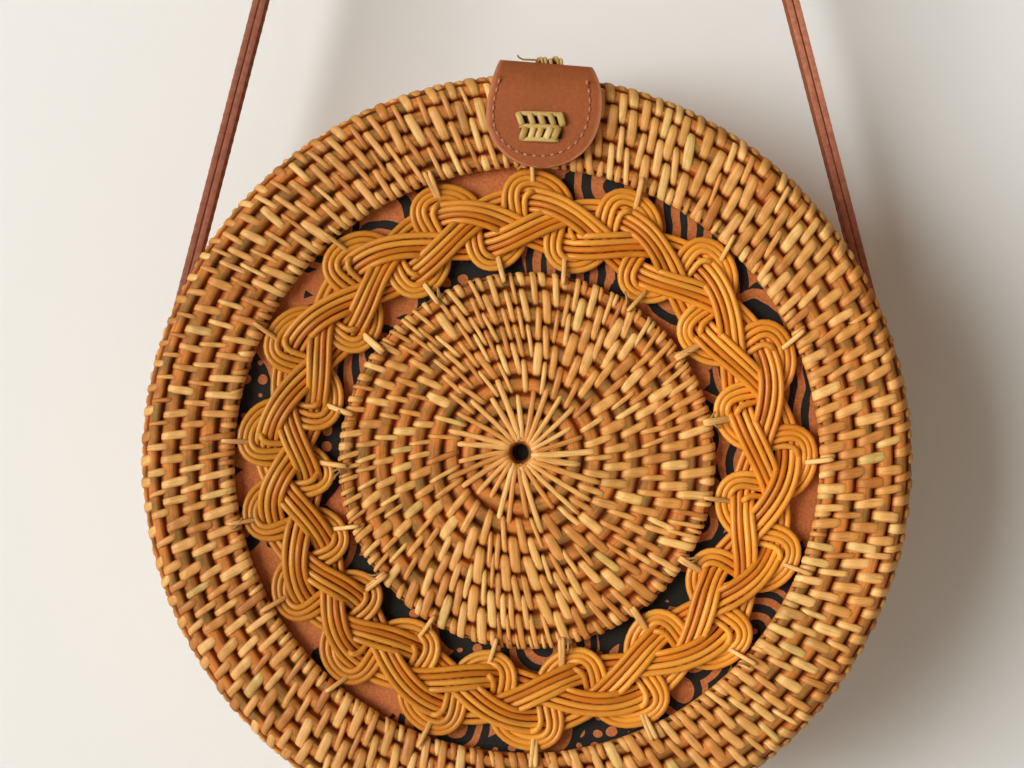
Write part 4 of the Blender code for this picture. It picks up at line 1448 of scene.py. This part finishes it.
# Offsets of each layer's inner face and of the seam's outer face, and a thread's middle off the leather.
INNER_LAYER, OUTER_LAYER, SEAM_FACE = 0.3 * MM, 2.3 * MM, 2.28 * MM
THREAD_REST = 0.05 * MM


def strap_spine(offset):
    """The strap's line at an offset from its inner face: right foot, over the crown, left foot."""
    away = STRAP_INSIDE + offset
    foot = Vector((away * cos(STRAP_LEAN), 0, away * sin(STRAP_LEAN) + CENTRE.z))
    up = Vector((-sin(STRAP_LEAN), 0, cos(STRAP_LEAN)))
    out = Vector((cos(STRAP_LEAN), 0, sin(STRAP_LEAN)))
    reach = CROWN_RADIUS + offset
    top = Vector((0, 0, -CROWN_RADIUS)) + out * reach
    run = (top - foot).length
    ends = [0, 0.6, 1.4, 2.4, 3.6, 5]
    distances = [end * MM - STRAP_TAIL for end in ends] + [run * step / 50 for step in range(1, 50)]
    arm = [(foot + up * distance, out) for distance in distances]
    crown = []
    for step in range(25):
        turn = STRAP_LEAN + (pi - 2 * STRAP_LEAN) * step / 24
        outward = Vector((cos(turn), 0, sin(turn)))
        crown.append((Vector((0, 0, -CROWN_RADIUS)) + outward * reach, outward))
    mirrored = [(Vector((-place.x, 0, place.z)), Vector((-outward.x, 0, outward.z)))
                for place, outward in arm[::-1]]
    shares = [sqrt(max(1 - (1 - end / 5) ** 2, 0.03)) for end in ends] + [1] * 49
    widths = [STRAP_HALF * share for share in shares + [1] * 25 + shares[::-1]]
    return arm + crown + mirrored, widths


def strap_bend(place, share):
    """Each arm is turned a little about its own length, its front edge nearer the middle."""
    return Vector((0.4 * MM * share * max(-1.0, min(1.0, place.x / (30 * MM))), 0, 0))


class StrapOperator(Operator):
    """Cut the strap's two layers and stitch them"""

    bl_idname = "cane_bag.strap"
    bl_label = "Leather strap"

    def execute(self, context):
        for name, node, low in (("strap_inner_leather", "strap_inner_layer", INNER_LAYER),
                                ("strap_outer_leather", "strap_outer_layer", OUTER_LAYER)):
            spine, widths = strap_spine(low + STRAP_LAYER)
            leather_strip(name, spine, widths, STRAP_LAYER, "strap",
                          ("strap_leather", "strap_edge"), [node], across=Vector((0, 1, 0)), columns=6,
                          round_edge=0.45 * MM, bend=strap_bend)
        # The dark line where the two layers meet: partly their glued seam, partly painted shade in the groove
        # between them.
        spine, widths = strap_spine(SEAM_FACE)
        leather_strip("strap_seam_shade", spine, [width - 0.35 * MM for width in widths], 0.36 * MM, "strap",
                      ("strap_seam_shade", "strap_seam_shade"), across=Vector((0, 1, 0)), columns=2,
                      round_edge=0.1 * MM, bend=strap_bend)
        threads = []
        for offset, sign in ((OUTER_LAYER + STRAP_LAYER + THREAD_REST, 1), (INNER_LAYER - THREAD_REST, -1)):
            spine, _ = strap_spine(offset)
            for side in (-1, 1):
                off = side * (STRAP_HALF - 1.6 * MM)
                line = [place + Vector((0, off, 0)) + strap_bend(place, off / STRAP_HALF)
                        for place, _ in spine[7:-7]]
                for place, way in evenly(line, 3.2 * MM):
                    nearest = min(spine, key=lambda item: (item[0] - place).length)
                    threads.append((place, way, nearest[1] * sign))
        stitches("strap_stitches", threads, "strap", (2.2 * MM, 0.24 * MM), "strap_thread")
        return {"FINISHED"}


class LashingsOperator(Operator):
    """Wind the lashings that hold the strap's ends"""

    bl_idname = "cane_bag.lashings"
    bl_label = "Strap lashings"

    def execute(self, context):
        draw = Random(9)
        for side, name, node in ((-1, "lashing_strands_left", "strap_lashing_left"),
                                 (1, "lashing_strands_right", "strap_lashing_right")):
            low, high = corners_of(node)
            outer = (high.x if side > 0 else low.x) - side * 0.9 * MM
            inner = low.x if side > 0 else high.x
            axis = JOINTS["bag_swing"]
            runs = []
            for index in range(8):
                turn = pi * index / 8 + 0.2
                spoke = Vector((0, cos(turn), sin(turn)))
                run = []
                for t in (-1, -0.97, -0.85, -0.5, 0, 0.5, 0.85, 0.97, 1):
                    height = outer - side * (0.55 * MM + (1.0 * MM if abs(t) == 1 else 0.35 * MM * t * t))
                    run.append(Vector((height, axis.y, axis.z)) + spoke * t * 2.9 * MM)
                runs.append(run)
            coil = []
            for step in range(49):
                turn = 2 * pi * step / 16
                coil.append(Vector((outer - side * (1.4 + 0.55 * step / 16) * MM,
                                    axis.y + 2.7 * MM * cos(turn), axis.z + 2.7 * MM * sin(turn))))
            runs.append(coil)
            stem = []
            for step in range(97):
                turn = 2 * pi * step / 12
                stem.append(Vector((inner + (outer - inner) * step / 96 * 0.9, axis.y + 1.35 * MM * cos(turn),
                                    axis.z + 1.35 * MM * sin(turn))))
            runs.append(stem)
            cane_tubes(name, runs, 0.5 * MM, "back_half", finish("cane_strand"),
                       [draw.uniform(0.1, 0.7) for _ in runs], replaces=[node])
        return {"FINISHED"}


class HingeOperator(Operator):
    """Wind the cane loops of the foot hinge"""

    bl_idname = "cane_bag.hinge"
    bl_label = "Foot hinge"

    def execute(self, context):
        draw = Random(13)
        axis = JOINTS["front_opening"]
        for node, body, side in (("front_hinge_loop_left", "front_half", -1),
                                 ("back_hinge_loop", "back_half", 1),
                                 ("front_hinge_loop_right", "front_half", -1)):
            low, high = corners_of(node)
            runs = []
            for index in range(4):
                x = low.x + (high.x - low.x) * (index + 0.5) / 4
                run = []
                for step in range(15):
                    turn = pi * 0.5 + side * (pi * 1.5) * step / 14
                    run.append(Vector((x, axis.y + 1.95 * MM * cos(turn), axis.z + 1.95 * MM * sin(turn))))
                top = high.z - 0.5 * MM
                reach = abs((low.y if side < 0 else high.y) - axis.y)
                run = run[::-1]
                for step in range(1, 6):
                    run.append(Vector((x, axis.y + side * reach * step / 5, top)))
                runs.append(run)
            cane_tubes(node.replace("loop", "strands"), runs, 0.5 * MM, body,
                       finish("cane_strand"), [draw.uniform(0.2, 0.8) for _ in runs], replaces=[node])
        refinish("hinge_pin", "core_cane")
        return {"FINISHED"}


# Stage

class StageOperator(Operator):
    """Set the camera, lights, wall and floor"""

    bl_idname = "cane_bag.stage"
    bl_label = "Camera, light and stage"

    def execute(self, context):
        look = settings()
        scene = context.scene
        scene.view_settings.view_transform = "Standard"
        lens = bpy.data.cameras.new("camera")
        lens.lens = 63.2
        lens.sensor_width = 36
        camera = bpy.data.objects.new("camera", lens)
        camera.location = CENTRE + Vector((-3.9 * MM, -HALF_DEPTH - look.camera_distance, 19.7 * MM))
        camera.rotation_euler = (pi / 2, 0, 0)
        scene.collection.objects.link(camera)
        scene.camera = camera

        world = bpy.data.worlds.new("pale room")
        scene.world = world
        world.use_nodes = True
        tree = world.node_tree
        background = tree.nodes["Background"]
        background.inputs["Color"].default_value = (1.0, 0.78, 0.56, 1)
        background.inputs["Strength"].default_value = look.room_light
        seen = tree.nodes.new("ShaderNodeBackground")
        seen.inputs["Color"].default_value = (0.86, 0.85, 0.82, 1)
        path = tree.nodes.new("ShaderNodeLightPath")
        mixer = tree.nodes.new("ShaderNodeMixShader")
        tree.links.new(path.outputs["Is Camera Ray"], mixer.inputs["Fac"])
        tree.links.new(background.outputs["Background"], mixer.inputs[1])
        tree.links.new(seen.outputs["Background"], mixer.inputs[2])
        tree.links.new(mixer.outputs["Shader"], tree.nodes["World Output"].inputs["Surface"])

        for name, place, size, power, tint in (
                ("window", Vector((-3.1, -3.0, 0.15)), 2.75, look.window_light, (0.95, 1.0, 1.0)),
                ("behind", Vector((0.2, 0.9, 1.9)), 0.6, look.window_light * 0.05, (1, 0.985, 0.96))):
            lamp = bpy.data.lights.new(name, "AREA")
            lamp.size = size
            lamp.energy = power
            lamp.color = tint
            holder = bpy.data.objects.new(name, lamp)
            holder.location = CENTRE + place
            holder.rotation_mode = "QUATERNION"
            holder.rotation_quaternion = (-place).to_track_quat("-Z", "Y")
            holder.visible_glossy = name == "window"
            scene.collection.objects.link(holder)

        back = CENTRE.y + HALF_DEPTH + 1.2 * MM
        for name, size, place, turn, tint in (
                ("wall", 6.0, Vector((0, back, CENTRE.z)), Matrix.Rotation(pi / 2, 4, "X"), "wall"),
                ("floor", 8.0, Vector((0, 0, CENTRE.z - 0.62)), Matrix.Identity(4), "floor")):
            bm = bmesh.new()
            bmesh.ops.create_grid(bm, x_segments=1, y_segments=1, size=size / 2)
            bmesh.ops.transform(bm, matrix=Matrix.Translation(place) @ turn, verts=bm.verts)
            mesh = mesh_of(bm, name, finish(tint), normals=False)
            obj = bpy.data.objects.new(name, mesh)
            scene.collection.objects.link(obj)
            if name == "wall":
                obj.visible_diffuse = False
                obj.visible_glossy = False
                obj.visible_shadow = False
        return {"FINISHED"}


class CaneBagSettings(PropertyGroup):
    """The sizes and colours that a user would change"""

    stitches_round: IntProperty(name="Stitches round the rim",
                                description="Strands in each row of the front ring",
                                default=100, min=40, max=160)
    strands_at_eye: IntProperty(name="Strands at the eye",
                                description="Long strands that leave the middle of a coil",
                                default=28, min=12, max=40)
    stitch_slant: FloatProperty(name="Stitch slant", description="Lean of the strands off the radius",
                                default=radians(11), subtype="ANGLE")
    plait_canes: IntProperty(name="Canes side by side", description="Canes in one ribbon of the plait",
                             default=4, min=2, max=6)
    plait_cane: FloatProperty(name="Plait cane radius",
                              description="Half the thickness of a cane of the plait",
                              default=0.8 * MM, unit="LENGTH", precision=5)
    plait_depth: FloatProperty(name="Plait depth", description="Middle of the plait behind the front face",
                               default=1.5 * MM, unit="LENGTH", precision=5)
    strand_tint: FloatVectorProperty(name="Strand colour", description="Middle tone of the woven strands",
                                     size=3, default=(0.67, 0.31, 0.077), min=0, max=1, subtype="COLOR")
    leather_tint: FloatVectorProperty(name="Leather colour", description="Plain tone of the tab's leather",
                                      size=3, default=(0.36, 0.100, 0.032), min=0, max=1, subtype="COLOR")
    wall_tint: FloatVectorProperty(name="Wall colour", description="Plaster behind the bag", size=3,
                                   default=(0.87, 0.85, 0.82), min=0, max=1, subtype="COLOR")
    camera_distance: FloatProperty(name="Camera distance", description="From the front face", default=0.461,
                                   unit="LENGTH")
    room_light: FloatProperty(name="Room light", description="Strength of the even light", default=0.19,
                              min=0)
    window_light: FloatProperty(name="Window light", description="Watts of the large lamp at the upper left",
                                default=242.0, min=0)


OPERATORS = (StageOperator, WeaveFrontOperator, WeaveDiscOperator, WeaveBackOperator, PlaitOperator,
             PlaitTiesOperator, LiningOperator, TabOperator, TongueOperator, SplitTiesOperator, StrapOperator,
             LashingsOperator, HingeOperator)


class CaneBagPanel(Panel):
    """Lists the bag's pieces and its settings"""

    bl_idname = "VIEW3D_PT_cane_bag"
    bl_label = "Cane bag"
    bl_space_type = "VIEW_3D"
    bl_region_type = "UI"
    bl_category = "Cane bag"

    def draw(self, context):
        column = self.layout.column()
        for name in CaneBagSettings.__annotations__:
            column.prop(settings(), name)
        for operator in OPERATORS:
            column.operator(operator.bl_idname)


CLASSES = (CaneBagSettings, CaneBagPanel) + OPERATORS


def register():
    for cls in CLASSES:
        bpy.utils.register_class(cls)
    bpy.types.Scene.cane_bag = PointerProperty(type=CaneBagSettings)


def unregister():
    del bpy.types.Scene.cane_bag
    for cls in reversed(CLASSES):
        bpy.utils.unregister_class(cls)


def main():
    register()
    for operator in OPERATORS:
        group, name = operator.bl_idname.split(".")
        getattr(getattr(bpy.ops, group), name)()


if __name__ == "__main__":
    main()
